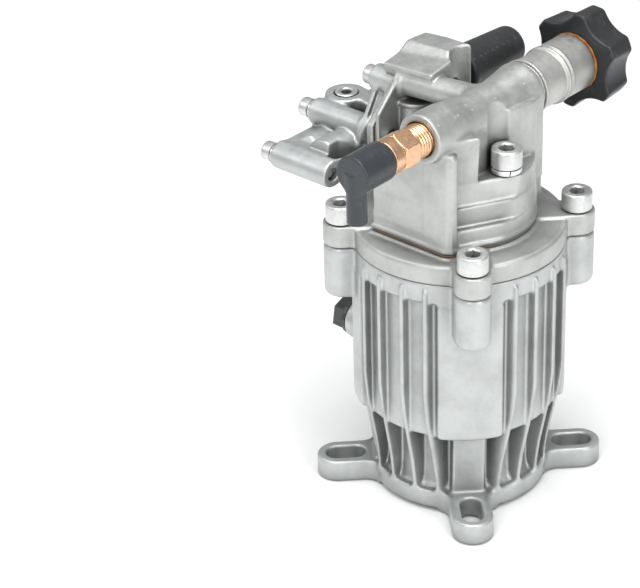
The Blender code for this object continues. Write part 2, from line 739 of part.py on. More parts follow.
def head_cuts(body):
    y0, y1 = RECESS_Y
    recess = box((RECESS_X, 45.0), (y0, y1), (HEAD_SEAT_Z, 195.0))
    cut(body, recess)
    for angle in HEAD_BOLT_ANGLES:
        x, y = polar(HEAD_BOLT_R, angle)
        cut(body, shift(cylinder(M8_HOLE_R, 120.0, 195.0, SMALL), x, y))
        cut(body, shift(cylinder(POCKET_R, HEAD_SEAT_Z, 195.0, MID), x, y))
    for angle in PISTON_ANGLES:
        step = HEAD_FOOT + 6.4
        tool = turned(((0.0, 120.0), (SEAL_R, 120.0), (SEAL_R, step), (CHAMBER_R, step),
                       (CHAMBER_R, CHAMBER_TOP), (0.0, CHAMBER_TOP)), MID)
        cut(body, shift(tool, *polar(PISTON_PITCH_R, angle)))
    cut(body, along_y(cylinder(7.6, -45.0, -26.0, MID), GALLERY_X, THERMAL_Z))
    cut(body, along_y(cylinder(10.0, 12.0, 40.0, MID), GALLERY_X, INLET_Z))
    cut(body, along_y(cylinder(5.0, -30.0, 20.0, SMALL), GALLERY_X, (THERMAL_Z + INLET_Z) / 2.0))
    return cut(body, along_y(cylinder(6.6, 12.0, 40.0, MID), REGULATOR_X, REGULATOR_Z))


def pump_head(looks):
    body = head_cuts(head_body())
    for y, z, end, radius in MANIFOLD_SCREWS[1:]:
        cut(body, along_minus_x(cylinder(M5_HOLE_R, 20.0, 40.0, SMALL), y, z))
    finish(body, "pump_head", looks["cast_aluminium"])


# ---------------------------------------------------------------- screws and washers

def socket_screw(head_r, head, shank_r, length, flats):
    """Built along Z with the underside of the head at z = 0 and the shank below it."""
    screw = turned(((0.0, -length), (shank_r - 0.5, -length), (shank_r, 0.6 - length), (shank_r, 0.0),
                    (head_r, 0.0), (head_r, head - 0.6), (head_r - 0.6, head), (0.0, head)), SCREW_SIDES)
    return cut(screw, hexagon(flats, head * 0.5, head + 1.0))


def split_washer(inner, outer, thick):
    washer = ring(inner, outer, 0.0, thick, SCREW_SIDES)
    return cut(washer, turn(box((0.0, outer + 1.0), (-0.3, 0.3), (-1.0, thick + 1.0)), -40.0))


def case_bolts(looks):
    for number, corner in enumerate(DIAGONALS, 1):
        x, y = polar(BOLT_R, corner)
        bolt = socket_screw(M8_HEAD_R, M8_HEAD, M8_R, 28.0, 6.0)
        seat = LUG_TOP + GAP
        finish(shift(bolt, x, y, seat), f"case_bolt_{number}", looks["zinc_steel"], (x, y, seat))


def head_bolts(looks):
    for number, angle in enumerate(HEAD_BOLT_ANGLES, 1):
        x, y = polar(HEAD_BOLT_R, angle)
        seat = HEAD_SEAT_Z + GAP
        washer = split_washer(M8_HOLE_R, M8_HEAD_R, M8_WASHER)
        finish(shift(washer, x, y, seat), f"head_spring_washer_{number}", looks["zinc_steel"], (x, y, seat))
        under = seat + M8_WASHER + GAP
        bolt = socket_screw(M8_HEAD_R, M8_HEAD, M8_R, under - 110.0, 6.0)
        finish(shift(bolt, x, y, under), f"head_bolt_{number}", looks["zinc_steel"], (x, y, under))


def manifold_screws(looks):
    for number, (y, z, end, radius) in enumerate(MANIFOLD_SCREWS, 1):
        washer = split_washer(M5_HOLE_R, M5_HEAD_R, M5_WASHER)
        at = (end - GAP, y, z)
        along_minus_x(washer, y, z, at[0])
        finish(washer, f"manifold_washer_{number}", looks["zinc_steel"], at)
        under = end - 2.0 * GAP - M5_WASHER
        length = under + LOW_BOSS_START + 2.0 if number == 1 else under - MANIFOLD_FACE_X - 10.0
        screw = socket_screw(M5_HEAD_R, M5_HEAD, M5_R, abs(length), 4.0)
        along_minus_x(screw, y, z, under)
        finish(screw, f"manifold_screw_{number}", looks["zinc_steel"], (under, y, z))


# ---------------------------------------------------------------- manifold, regulator and outlet

def manifold_web():
    """The thin triangular rib from the upper screw boss down to the middle one."""
    section = ((0.5, 171.0), (3.5, 170.0), (3.5, 147.0), (-12.0, 147.0), (-11.0, 152.5))
    return slice_x(section, -46.3, -44.0)


def manifold_body():
    x0 = MANIFOLD_END_X
    slab = extrude(((x0, -29.6), (-44.0, -29.6), (-38.0, -12.0), (-38.0, 17.0), (x0, 14.0)),
                   SLAB_BOTTOM, SLAB_TOP)
    section = ((-13.0, 130.0), (18.0, 130.0), (18.0, 161.0), (9.6, 161.0), (9.6, 171.0), (0.4, 171.0),
               (-13.0, 160.0))
    join(slab, slice_x(section, -42.0, MANIFOLD_FACE_X), manifold_web())
    for y, z, end, radius in MANIFOLD_SCREWS:
        start = LOW_BOSS_START if y < -20.0 else BOSS_START
        join(slab, along_minus_x(cylinder(radius, start, -end, MID), y, z))
    chamber = along_y(cylinder(8.0, -26.0, -6.0, MID), -52.5, 145.2)
    bump = along_y(cylinder(5.0, -22.0, -7.0, MID), -64.5, 145.0)
    return join(slab, chamber, bump, shift(cylinder(9.2, 145.0, PLUG_TOP, MID), *PLUG_XY))


def manifold(looks):
    body = manifold_body()
    join(body, along_y(cylinder(12.5, 8.0, OUTLET_FACE_Y, MID), OUTLET_X, OUTLET_Z))
    for y, z, end, radius in MANIFOLD_SCREWS:
        cut(body, along_minus_x(cylinder(M5_HOLE_R, 20.0, 90.0, SMALL), y, z))
    cut(body, shift(cylinder(5.2, 150.0, 170.0, SMALL), *PLUG_XY))
    cut(body, along_y(cylinder(8.4, 12.0, 40.0, MID), OUTLET_X, OUTLET_Z))
    finish(body, "manifold", looks["cast_aluminium"])


def manifold_gasket(looks):
    section = ((-12.0, 131.0), (17.0, 131.0), (17.0, 160.0), (10.0, 160.0), (10.0, 171.0), (0.0, 171.0),
               (-12.0, 160.0))
    plate = slice_x(section, MANIFOLD_FACE_X + GAP, FLANGE_X - GAP)
    for y, z, end, radius in MANIFOLD_SCREWS[1:]:
        cut(plate, along_minus_x(cylinder(M5_HOLE_R, 20.0, 90.0, SMALL), y, z))
    finish(plate, "manifold_gasket", looks["gasket_paper"])


def manifold_plug(looks):
    plug = turned(((0.0, 151.0), (4.9, 151.0), (4.9, PLUG_TOP + 0.1), (4.4, PLUG_TOP + 0.5),
                   (0.0, PLUG_TOP + 0.5)), MID)
    cut(plug, hexagon(4.5, PLUG_TOP - 3.0, PLUG_TOP + 2.0))
    finish(shift(plug, *PLUG_XY), "manifold_plug", looks["zinc_steel"], (*PLUG_XY, PLUG_TOP))


def outlet_connector(looks):
    """A male M22 union with a hexagon, screwed into the manifold and open right through."""
    y = OUTLET_FACE_Y + GAP
    body = turned(((0.0, y - 12.0), (8.1, y - 12.0), (8.1, y), (11.5, y), (11.5, y + 9.0), (11.0, y + 9.6),
                   (11.0, y + 20.0), (10.4, y + 20.8), (0.0, y + 20.8)), MID)
    join(body, hexagon(25.4, y, y + 8.0))
    cut(body, cylinder(4.4, y - 20.0, y + 30.0, SMALL))
    cut(body, cylinder(7.6, y + 10.0, y + 30.0, MID))
    along_y(body, OUTLET_X, OUTLET_Z)
    finish(body, "outlet_connector", looks["brass"], (OUTLET_X, y, OUTLET_Z))


def regulator(looks):
    """Pressure regulator: threaded stem that advances, its spring, and the tapered knob that turns it."""
    face = BLOCK_Y[1] + GAP
    at = (REGULATOR_X, face, REGULATOR_Z)
    stem = turned(((0.0, -12.0), (4.0, -12.0), (6.2, -9.0), (6.2, 1.5), (4.2, 2.5), (4.2, 24.0),
                   (0.0, 24.0)), MID)
    finish(along_y(shift(stem, z=face), REGULATOR_X, REGULATOR_Z), "regulator_stem", looks["zinc_steel"], at)
    length = KNOB_LENGTH
    knob = turned(((4.6, 3.0), (10.2, 3.0), (10.6, 3.4), (8.8, length - 1.5), (7.6, length), (0.0, length),
                   (0.0, 25.0), (4.6, 25.0)), MID)
    along_y(shift(knob, z=face), REGULATOR_X, REGULATOR_Z)
    finish(knob, "regulator_knob", looks["black_plastic"], at)


# ---------------------------------------------------------------- inlet swivel

def inlet_neck(looks):
    y0, y1 = NECK_Y
    profile = ((8.0, 13.0), (9.7, 13.0), (9.7, y0 - 0.3), (9.8, y0), (11.4, y0), (11.7, y0 + 0.5),
               (11.7, 44.8), (12.7, 45.6), (12.7, 46.8), (12.2, 47.4), (12.4, y1), (10.4, y1),
               (10.4, NECK_TIP_Y - 2.0),
               (12.6, NECK_TIP_Y - 1.8), (12.6, NECK_TIP_Y), (8.0, NECK_TIP_Y))
    neck = along_y(turned(profile, MID), GALLERY_X, INLET_Z)
    finish(neck, "inlet_neck", looks["cast_aluminium"], (GALLERY_X, y0, INLET_Z))
    band = along_y(ring(10.7, 12.8, y1 + 0.2, y1 + 1.1, MID), GALLERY_X, INLET_Z)
    finish(band, "inlet_seal_ring", looks["ring_amber"], (GALLERY_X, y1, INLET_Z))
    seat = NECK_TIP_Y + GAP
    washer = along_y(ring(8.2, 12.9, seat, seat + HOSE_WASHER, MID), GALLERY_X, INLET_Z)
    finish(washer, "hose_washer", looks["black_rubber"], (GALLERY_X, seat, INLET_Z))


def inlet_filter(looks):
    rim = NECK_TIP_Y - 0.4
    cup = turned(((0.0, rim - 15.0), (4.0, rim - 14.4), (6.6, rim - 11.0), (7.6, rim), (7.0, rim),
                  (6.0, rim - 10.4), (3.6, rim - 13.4), (0.0, rim - 14.0)), MID)
    finish(along_y(cup, GALLERY_X, INLET_Z), "inlet_filter", looks["filter_mesh"], (GALLERY_X, rim, INLET_Z))


def nut_outline():
    """Six blunt lobes with hollow scallops between them."""
    pitch = 360.0 / NUT_LOBES
    points = []
    for k in range(NUT_LOBES):
        middle = NUT_TURN + k * pitch
        points += [polar(NUT_TIP_R, middle - NUT_BLUNT), polar(NUT_TIP_R, middle + NUT_BLUNT)]
        for n in range(1, 6):
            part = n / 6.0
            dip = math.sin(math.pi * part) ** 0.7
            radius = NUT_TIP_R + (NUT_VALLEY_R - NUT_TIP_R) * dip
            points.append(polar(radius, middle + NUT_BLUNT + (pitch - 2.0 * NUT_BLUNT) * part))
    return points


def inlet_nut(looks):
    y0, y1 = NUT_Y
    nut = extrude(nut_outline(), y0, y1)
    cut(nut, cylinder(10.7, y0 - 5.0, y1 + 5.0, MID), cylinder(13.3, NECK_TIP_Y - 2.2, y1 + 5.0, MID))
    along_y(nut, GALLERY_X, INLET_Z)
    finish(nut, "inlet_hose_nut", looks["black_plastic"], (GALLERY_X, y0, INLET_Z))


# ---------------------------------------------------------------- thermal relief valve

def thermal_valve(looks):
    at = (GALLERY_X, GALLERY_ENDS[0], THERMAL_Z)
    body = turned(((0.0, -11.0), (6.6, -11.0), (7.2, -10.4), (7.2, THERMAL_THREAD), (7.6, THERMAL_HEX),
                   (7.6, THERMAL_COLLAR - 0.3), (7.2, THERMAL_COLLAR), (5.2, THERMAL_COLLAR), (5.2, 32.0),
                   (4.6, 32.6), (0.0, 32.6)), MID)
    join(body, hexagon(14.6, THERMAL_THREAD - 0.1, THERMAL_HEX + 0.2, 30.0))
    cut(body, cylinder(2.2, -20.0, 40.0, 16))
    shift(turn(body, 90.0, "X"), *at)
    finish(body, "thermal_valve_body", looks["brass"], at)
    start, end = THERMAL_CAP
    x, y = SPOUT_AT
    cap = along_y(cylinder(8.2, -end, -start, MID), 0.0, 0.0)
    join(cap, shift(cylinder(4.3, -SPOUT_LENGTH, 0.0, MID), x, -y))
    cut(cap, along_y(cylinder(5.5, -35.0, -10.0, MID), 0.0, 0.0))
    cut(cap, shift(cylinder(2.6, -40.0, 0.0, 16), x, -y))
    finish(shift(cap, *at), "thermal_valve_cap", looks["black_rubber"], at)


# ---------------------------------------------------------------- assembly

def centre_on_floor():
    """Moves the frame empty so that the whole pump stands over the origin, centred by its extents."""
    bpy.context.view_layer.update()
    corners = [item.matrix_world @ Vector(corner) for item in bpy.data.objects if item.type == "MESH"
               for corner in item.bound_box]
    middle = [(min(c[i] for c in corners) + max(c[i] for c in corners)) / 2.0 for i in range(2)]
    frame.location = (-middle[0], -middle[1], -min(c[2] for c in corners))


def main():
    global frame
    clear_scene()
    frame = bpy.data.objects.new("pump_frame", None)
    bpy.context.scene.collection.objects.link(frame)
    looks = make_materials()
    for build in (crankcase, oil_plug, drive_shaft, swash_plate, thrust_bearing, main_bearing, shaft_seal,
                  hydraulic_group, guide_flange, gasket, pump_head, case_bolts, head_bolts, manifold,
                  manifold_gasket, manifold_plug, manifold_screws, outlet_connector, regulator, inlet_neck,
                  inlet_filter, inlet_nut, thermal_valve):
        build(looks)
    centre_on_floor()


main()
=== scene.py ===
"""Looks of a finned pressure washer pump: smooth castings, threads, screws and materials.

The castings are worked out as signed distance fields, which round and fillet their edges as a
mould does, and OpenVDB turns each field into a mesh. The screws, washers and plug are turned or
swept meshes. Lengths are in millimetres about the pump axis, which is read from the CAD shaft,
until a mesh is made.
"""

import json
import math

import bmesh
import bpy
import numpy as np
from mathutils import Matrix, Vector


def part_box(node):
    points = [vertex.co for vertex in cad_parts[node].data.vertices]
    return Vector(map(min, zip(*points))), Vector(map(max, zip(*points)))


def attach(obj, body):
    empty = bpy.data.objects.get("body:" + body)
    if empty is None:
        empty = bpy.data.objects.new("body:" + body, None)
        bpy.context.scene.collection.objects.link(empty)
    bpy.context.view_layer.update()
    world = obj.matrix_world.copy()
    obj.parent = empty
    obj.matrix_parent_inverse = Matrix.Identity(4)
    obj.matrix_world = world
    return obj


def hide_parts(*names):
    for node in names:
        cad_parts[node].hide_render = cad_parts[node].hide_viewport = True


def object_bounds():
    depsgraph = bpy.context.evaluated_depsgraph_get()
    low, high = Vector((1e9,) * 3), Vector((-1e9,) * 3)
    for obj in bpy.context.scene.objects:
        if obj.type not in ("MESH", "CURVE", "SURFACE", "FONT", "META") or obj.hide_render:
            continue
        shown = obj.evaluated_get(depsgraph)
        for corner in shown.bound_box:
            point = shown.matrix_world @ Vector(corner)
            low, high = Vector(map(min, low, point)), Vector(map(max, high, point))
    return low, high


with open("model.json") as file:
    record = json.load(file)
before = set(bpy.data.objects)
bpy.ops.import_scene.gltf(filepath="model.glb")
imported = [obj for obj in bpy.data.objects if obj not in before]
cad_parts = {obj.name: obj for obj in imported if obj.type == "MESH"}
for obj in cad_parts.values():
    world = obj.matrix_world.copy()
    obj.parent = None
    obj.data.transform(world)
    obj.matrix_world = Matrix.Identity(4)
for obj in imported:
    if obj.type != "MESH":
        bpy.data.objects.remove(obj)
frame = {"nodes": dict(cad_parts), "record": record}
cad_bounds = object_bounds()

import openvdb as vdb
from mathutils import Matrix, Vector


# ---------------------------------------------------------------- places read from the frame

AXIS_X, AXIS_Y = [(a + b) / 2.0 for a, b in zip(*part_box("drive_shaft"))][:2]


def in_millimetres(corner):
    x, y, z = corner
    return Vector(((x - AXIS_X) * 1000.0, (y - AXIS_Y) * 1000.0, z * 1000.0))


def low(node):
    """Lowest corner of a CAD node in millimetres about the pump axis."""
    return in_millimetres(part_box(node)[0])


def high(node):
    """Highest corner of a CAD node in millimetres about the pump axis."""
    return in_millimetres(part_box(node)[1])


def middle(node):
    return (low(node) + high(node)) / 2.0


JOINT_GAP = 0.3
CASE_TOP = high("crankcase").z
DISC_TOP = high("guide_flange").z
DISC = (low("guide_flange").z, CASE_TOP + JOINT_GAP, DISC_TOP - 1.0, DISC_TOP)
HEAD_FOOT = low("pump_head").z
BLOCK_TOP = high("pump_head").z
SCREW_SEAT = low("head_spring_washer_1").z - JOINT_GAP
MANIFOLD_FACE = low("manifold_gasket").x - JOINT_GAP
HEAD_FACE = high("manifold_gasket").x + JOINT_GAP
INLET = middle("inlet_neck")
RELIEF = middle("thermal_valve_body")
RELIEF.z = INLET.z + 2.7
KNOB = middle("regulator_knob")
OUTLET = middle("outlet_connector")
PLUG = middle("manifold_plug")
OIL = middle("oil_plug")
NECK_TIP = high("inlet_neck").y

# radii of the circles that carry the case bolts, the head bolts and the pistons
BOLT_R = math.hypot(*middle("case_bolt_1")[:2])
HEAD_BOLT_R = math.hypot(*middle("head_bolt_1")[:2])
PISTON_R = math.hypot(*middle("piston_1")[:2])
HEAD_BOLT_ANGLES = (0.0, 120.0, 240.0)

# places that several fields share
BOLT_HOLE_R = 4.4
LUG_R = 7.7
SMALL_HOLE_R = 2.9
GALLERY_X = 10.0
RELIEF_START = -38.0
CAP_START = RELIEF_START - high("thermal_valve_cap").y
KNOB_START = 28.8
UNION_START = 27.3


# ---------------------------------------------------------------- distance fields

def soft_min(a, b, k):
    """The nearer of two surfaces, with a fillet of about k where they meet."""
    mix = np.clip(0.5 + 0.5 * (b - a) / k, 0.0, 1.0)
    return b + (a - b) * mix - k * mix * (1.0 - mix)


def soft_max(a, b, k):
    return -soft_min(-a, -b, k)


def outline_distance(u, v, points):
    """Signed distance in a plane to a closed outline, negative inside."""
    best = None
    inside = None
    for (u0, v0), (u1, v1) in zip(points, points[1:] + points[:1]):
        eu, ev = u1 - u0, v1 - v0
        if eu * eu + ev * ev < 1e-9:
            continue
        wu, wv = u - u0, v - v0
        part = np.clip((wu * eu + wv * ev) / (eu * eu + ev * ev), 0.0, 1.0)
        gap = (wu - eu * part) ** 2 + (wv - ev * part) ** 2
        best = gap if best is None else np.minimum(best, gap)
        crosses = ((v0 > v) != (v1 > v)) & (u < eu * (v - v0) / (ev if abs(ev) > 1e-9 else 1e-9) + u0)
        inside = crosses if inside is None else inside ^ crosses
    return np.where(inside, -1.0, 1.0) * np.sqrt(best)


def span(v, start, end):
    """Distance to a layer between two parallel planes."""
    return np.abs(v - (start + end) / 2.0) - (end - start) / 2.0


def prism(outline, along, start, end, edge=0.5):
    """A flat outline drawn out between two planes, with its edges rounded."""
    return soft_max(outline, span(along, start, end), edge)


def rod(u, v, along, radius, start, end, edge=0.5):
    """A round bar with rounded rims."""
    return soft_max(np.hypot(u, v) - radius, span(along, start, end), edge)


def turned(u, v, along, profile):
    """A shape turned about a line: worked out once over radius and height, then read back."""
    step = 0.1
    radius = np.hypot(u, v)
    reach = np.arange(0.0, float(radius.max()) + 3.0 * step, step, dtype=np.float32)
    heights = along.ravel()
    table = outline_distance(reach[:, None], heights[None, :], list(profile)).astype(np.float32)
    place = radius / step
    first = place.astype(np.int32)
    part = (place - first).astype(np.float32)
    axis = int(np.argmax(np.array(along.shape)))
    first, part = np.squeeze(first, axis), np.squeeze(part, axis)
    found = table[first] * (1.0 - part[..., None]) + table[first + 1] * part[..., None]
    return np.moveaxis(found, -1, axis)


def polar(radius, degrees):
    angle = math.radians(degrees)
    return radius * math.cos(angle), radius * math.sin(angle)


def arc(cu, cv, radius, start, end, steps):
    """Points along an arc about (cu, cv), with its angles in degrees."""
    points = []
    for k in range(steps + 1):
        du, dv = polar(radius, start + (end - start) * k / steps)
        points.append((cu + du, cv + dv))
    return points


def hexagon(u, v, across, turned_by=0.0):
    """Distance to a hexagonal column."""
    result = None
    for k in range(3):
        c, s = polar(1.0, turned_by + 60.0 * k)
        face = np.abs(u * c + v * s) - across / 2.0
        result = face if result is None else np.maximum(result, face)
    return result


def thread(u, v, along, radius, depth, pitch, start, end):
    """A right-hand thread with a runout at both ends."""
    wave = np.abs(((along / pitch - np.arctan2(v, u) / (2.0 * math.pi)) % 1.0) - 0.5) * 2.0
    bar = np.hypot(u, v) - radius + depth * wave
    return soft_max(bar * 0.8, span(along, start, end), 0.4)


def softened(values, passes):
    """Averages each sample with its neighbours, which rounds the sharp edges a little."""
    for _ in range(passes):
        for axis in range(3):
            inner = [slice(None)] * 3
            before, after = list(inner), list(inner)
            inner[axis] = slice(1, -1)
            before[axis] = slice(None, -2)
            after[axis] = slice(2, None)
            blurred = values.copy()
            total = values[tuple(before)] + 2.0 * values[tuple(inner)] + values[tuple(after)]
            blurred[tuple(inner)] = total / 4.0
            values = blurred
    return values


def relaxed(points, quads):
    """Draws each point half way to the mean of its neighbours, and any stray one all the way."""
    pairs = np.concatenate([quads[:, (k, (k + 1) % 4)] for k in range(4)])
    count = np.bincount(pairs.ravel(), minlength=len(points))
    mean = np.empty(points.shape)
    for k in range(3):
        total = np.bincount(pairs[:, 0], points[pairs[:, 1], k], len(points))
        total += np.bincount(pairs[:, 1], points[pairs[:, 0], k], len(points))
        mean[:, k] = total / np.maximum(count, 1)
    stray = np.linalg.norm(points - mean, axis=1) > 0.30
    share = np.where(stray, 1.0, 0.5) * (count > 0)
    return points + (mean - points) * share[:, None]


# ---------------------------------------------------------------- objects

def linked(name, data):
    """Puts new data into the scene as an object."""
    item = bpy.data.objects.new(name, data)
    bpy.context.scene.collection.objects.link(item)
    return item


def linked_bmesh(name, data):
    mesh = bpy.data.meshes.new(name)
    data.to_mesh(mesh)
    data.free()
    return linked(name, mesh)


def solid(name, corner_low, corner_high, step, field, passes):
    """The surface where a field is zero, as one smooth-shaded object in the row frame."""
    axes = [np.arange(a - 3.0 * step, b + 4.0 * step, step, dtype=np.float32)
            for a, b in zip(corner_low, corner_high)]
    x, y, z = np.meshgrid(*axes, indexing="ij", sparse=True)
    shape = tuple(len(a) for a in axes)
    values = np.array(np.broadcast_to(field(x, y, z), shape), dtype=np.float32)
    values = softened(np.clip(values, -4.0 * step, 4.0 * step), passes)
    grid = vdb.FloatGrid(4.0 * step)
    grid.copyFromArray(np.ascontiguousarray(values))
    points, quads = grid.convertToQuads()
    places = relaxed(points, quads) * step + np.array([a[0] for a in axes])
    places = places * 0.001 + np.array([AXIS_X, AXIS_Y, 0.0])
    mesh = bpy.data.meshes.new(name)
    mesh.from_pydata(places.tolist(), [], [tuple(face[::-1]) for face in quads.tolist()])
    mesh.update()
    mesh.shade_smooth()
    return linked(name, mesh)


def place(item, node, look, body="housing"):
    """Dresses a piece, lets it ride on its body and hides the CAD node it stands for."""
    item.data.materials.clear()
    item.data.materials.append(look)
    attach(item, body)
    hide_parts(node)
    return item


# ---------------------------------------------------------------- crankcase

# outlines of (radius, height) for the turned shapes
FIN_SHAPE = ((0.0, 9.0), (38.4, 9.0), (38.9, 15.0), (40.3, 25.0), (42.9, 38.0), (45.2, 50.0),
             (46.6, 62.0), (46.6, 112.0), (45.6, 113.4), (0.0, 113.4))
CASE_SHAPE = ((0.0, 5.0), (35.0, 5.0), (34.6, 11.0), (33.4, 14.0), (33.0, 20.0), (33.0, 41.0),
              (42.2, 41.0), (42.2, 105.6), (45.0, 107.0), (45.0, CASE_TOP), (0.0, CASE_TOP))
CASE_BORE = ((0.0, -4.0), (21.3, -4.0), (21.3, 12.5), (17.5, 12.5), (17.5, 15.0), (27.8, 15.0),
             (27.8, 43.5), (38.0, 47.0), (38.0, CASE_TOP + 4.0), (0.0, CASE_TOP + 4.0))
FIN_PLACES, FIN_HALF = (6.0, 16.3), 0.95
EAR_TIP, EAR_HALF, EAR_FILLET, PLATE_R = 62.5, 8.85, 7.2, 38.3
PAD_HALF, SLOT_AT, SLOT_HALF, SLOT_R = 12.7, 49.85, 4.2, 4.53


def ear_outline():
    """One quarter of the flange outline, about the +X direction: an ear and its two hollow fillets."""
    reach = EAR_TIP - EAR_HALF
    fy = EAR_HALF + EAR_FILLET
    fx = math.sqrt((PLATE_R + EAR_FILLET) ** 2 - fy ** 2)
    meet = math.degrees(math.atan2(fy, fx))
    points = [(0.0, 0.0)] + arc(0.0, 0.0, PLATE_R, -50.0, -meet, 3)
    points += arc(fx, -fy, EAR_FILLET, 180.0 - meet, 90.0, 8)
    points += arc(reach, 0.0, EAR_HALF, -90.0, 90.0, 24)
    points += arc(fx, fy, EAR_FILLET, 270.0, 180.0 + meet, 8)
    return points + arc(0.0, 0.0, PLATE_R, meet, 50.0, 3)


def flange_plate(u, v, z, radius):
    """The engine flange: four slotted ears on a round plate, each with a raised pad below."""
    ear = soft_min(outline_distance(u, np.abs(v), ear_outline()), radius - PLATE_R, 0.5)
    plate = prism(ear, z, 1.4, 10.0, 1.3)
    pads = np.maximum(np.maximum(ear, np.abs(v) - PAD_HALF), 34.0 - radius)
    plate = soft_min(plate, prism(pads, z, 0.0, 3.0, 0.4), 0.3)
    slot = np.hypot(np.maximum(np.abs(u - SLOT_AT) - SLOT_HALF, 0.0), v) - SLOT_R
    return soft_max(plate, -slot, 0.7)


def corner_panel(u, v, z, radius):
    """A smooth panel between the fins, with a gusset under it and a bolt boss over it."""
    flat = soft_max(np.maximum(np.abs(v) - 13.8, 30.0 - u), radius - 45.5, 0.8)
    panel = soft_max(flat, span(z, 41.0, 106.5), 2.2)
    lean = np.interp(z, (8.0, 13.5, 42.0), (36.8, 37.2, 41.6))
    gusset = np.maximum(soft_max(np.abs(v) - 7.0, u - lean, 0.8), span(z, 8.0, 43.0))
    boss = np.hypot(np.maximum(np.maximum(30.0 - u, u - BOLT_R), 0.0), v) - LUG_R
    boss = soft_max(boss, span(z, 91.5, CASE_TOP), 3.0)
    boss = soft_min(boss, soft_max(boss + 0.35, span(z, 112.5, CASE_TOP), 0.4), 0.3)
    return soft_min(soft_min(panel, gusset, 1.5), boss, 1.8)


def about_diagonal(x, y):
    """Distances along and across the nearest diagonal, the same in all four quarters."""
    ax, ay = np.abs(x), np.abs(y)
    return (ax + ay) * math.sqrt(0.5), (ay - ax) * math.sqrt(0.5)


def case_field(x, y, z):
    radius = np.hypot(x, y)
    u, v = about_diagonal(x, y)
    p, q = np.minimum(np.abs(x), np.abs(y)), np.maximum(np.abs(x), np.abs(y))
    shape = turned(x, y, z, CASE_SHAPE)
    fins = np.minimum(np.abs(p - FIN_PLACES[0]), np.abs(p - FIN_PLACES[1])) - FIN_HALF
    fins = np.maximum(fins, 24.0 - q)
    fins = soft_max(fins, turned(x, y, z, FIN_SHAPE), 0.6)
    shape = soft_min(shape, fins, 0.8)
    shape = soft_min(shape, flange_plate(u, v, z, radius), 2.6)
    shape = soft_min(shape, corner_panel(u, v, z, radius), 1.6)
    from_oil = np.hypot(y - OIL.y, z - OIL.z)
    boss = soft_max(from_oil - 9.2, np.maximum(-47.8 - x, x + 38.0), 1.5)
    shape = soft_min(shape, boss, 2.5)
    holes = np.hypot(u - BOLT_R, v) - BOLT_HOLE_R
    shape = soft_max(shape, -np.maximum(holes, 95.0 - z), 0.6)
    shape = soft_max(shape, -np.maximum(from_oil - 5.4, x + 30.0), 0.6)
    shape = soft_max(shape, z - CASE_TOP, 0.3)
    return soft_max(shape, -turned(x, y, z, CASE_BORE), 0.6)


# ---------------------------------------------------------------- guide flange

def head_outline(grow):
    """Plan of the head's walls. The left side and the front keep their place unless it grows."""
    left, right = -18.4, 22.2
    face = -33.2 if grow < 1.0 else -34.3
    points = [(left - max(grow, 0.0), face), (right - 3.5, face), (right - 0.9 + grow, face + 2.2)]
    points += arc(0.0, 0.0, 31.5 + grow, -33.0, 62.0, 24)
    points += [(8.0, 28.0 + grow), (-24.0, 28.0 + grow), (HEAD_FACE + 6.0, 20.0)]
    return points + [(HEAD_FACE + 6.0, -12.0), (left - max(grow, 0.0), -20.0)]


def guide_field(x, y, z):
    """The round plate between case and head. Its rim laps 0.5 over the case, so no gap shows."""
    radius = np.hypot(x, y)
    u, v = about_diagonal(x, y)
    under, disc, shelf, top = DISC
    shape = soft_max(soft_max(radius - 45.1, z - shelf, 1.8), disc - 0.5 - z, 0.2)
    lug = np.hypot(np.maximum(np.maximum(20.0 - u, u - BOLT_R), 0.0), v) - LUG_R
    lug = soft_max(soft_max(lug - 0.05, z - top, 0.7), disc - 0.5 - z, 0.2)
    land = soft_max(outline_distance(x, y, head_outline(1.6)), span(z, disc, top), 0.6)
    shape = soft_min(shape, soft_min(lug, land, 1.2), 1.2)
    shape = soft_min(shape, soft_max(radius - 30.5, span(z, under, disc + 1.0), 0.5), 0.3)
    shape = soft_max(shape, -(np.hypot(u - BOLT_R, v) - BOLT_HOLE_R), 0.5)
    for angle in HEAD_BOLT_ANGLES:
        cx, cy = polar(HEAD_BOLT_R, angle)
        shape = np.maximum(shape, BOLT_HOLE_R - np.hypot(x - cx, y - cy))
        cx, cy = polar(PISTON_R, angle + 60.0)
        shape = np.maximum(shape, 6.1 - np.hypot(x - cx, y - cy))
    return shape


# ---------------------------------------------------------------- pump head

# (how far the outline grows, top, and the front right facet's reach at foot, waist and brow)
FACET_TURN = -29.0
STOREYS = ((0.7, 135.3, 31.7, 31.7, 31.7), (0.3, 144.5, 28.4, 30.0, 32.0),
           (-0.2, 175.5, 28.0, 26.6, 31.2))


def storeys(x, y, z):
    """Walls in storeys. At the front right each leans out again above a lens-shaped ledge."""
    c, s = polar(1.0, FACET_TURN)
    facing = x * c + y * s
    shape = prism(outline_distance(x, y, head_outline(1.2)), z, HEAD_FOOT, HEAD_FOOT + 2.0, 0.5)
    start = HEAD_FOOT
    for grow, top, foot, waist, brow in STOREYS:
        facet = np.interp(z, (start, start + 9.0, top), (foot, waist, brow))
        wall = soft_max(outline_distance(x, y, head_outline(grow)), facing - facet, 0.4)
        shape = soft_min(shape, soft_max(wall, span(z, start - 3.0, top), 0.6), 0.7)
        start = top
    side = -14.8 - 0.14 * (z - SCREW_SEAT) - y
    recess = np.maximum(np.maximum(18.4 - x, SCREW_SEAT - z), np.maximum(side, y - 24.0))
    return soft_max(shape, -recess, 0.6)


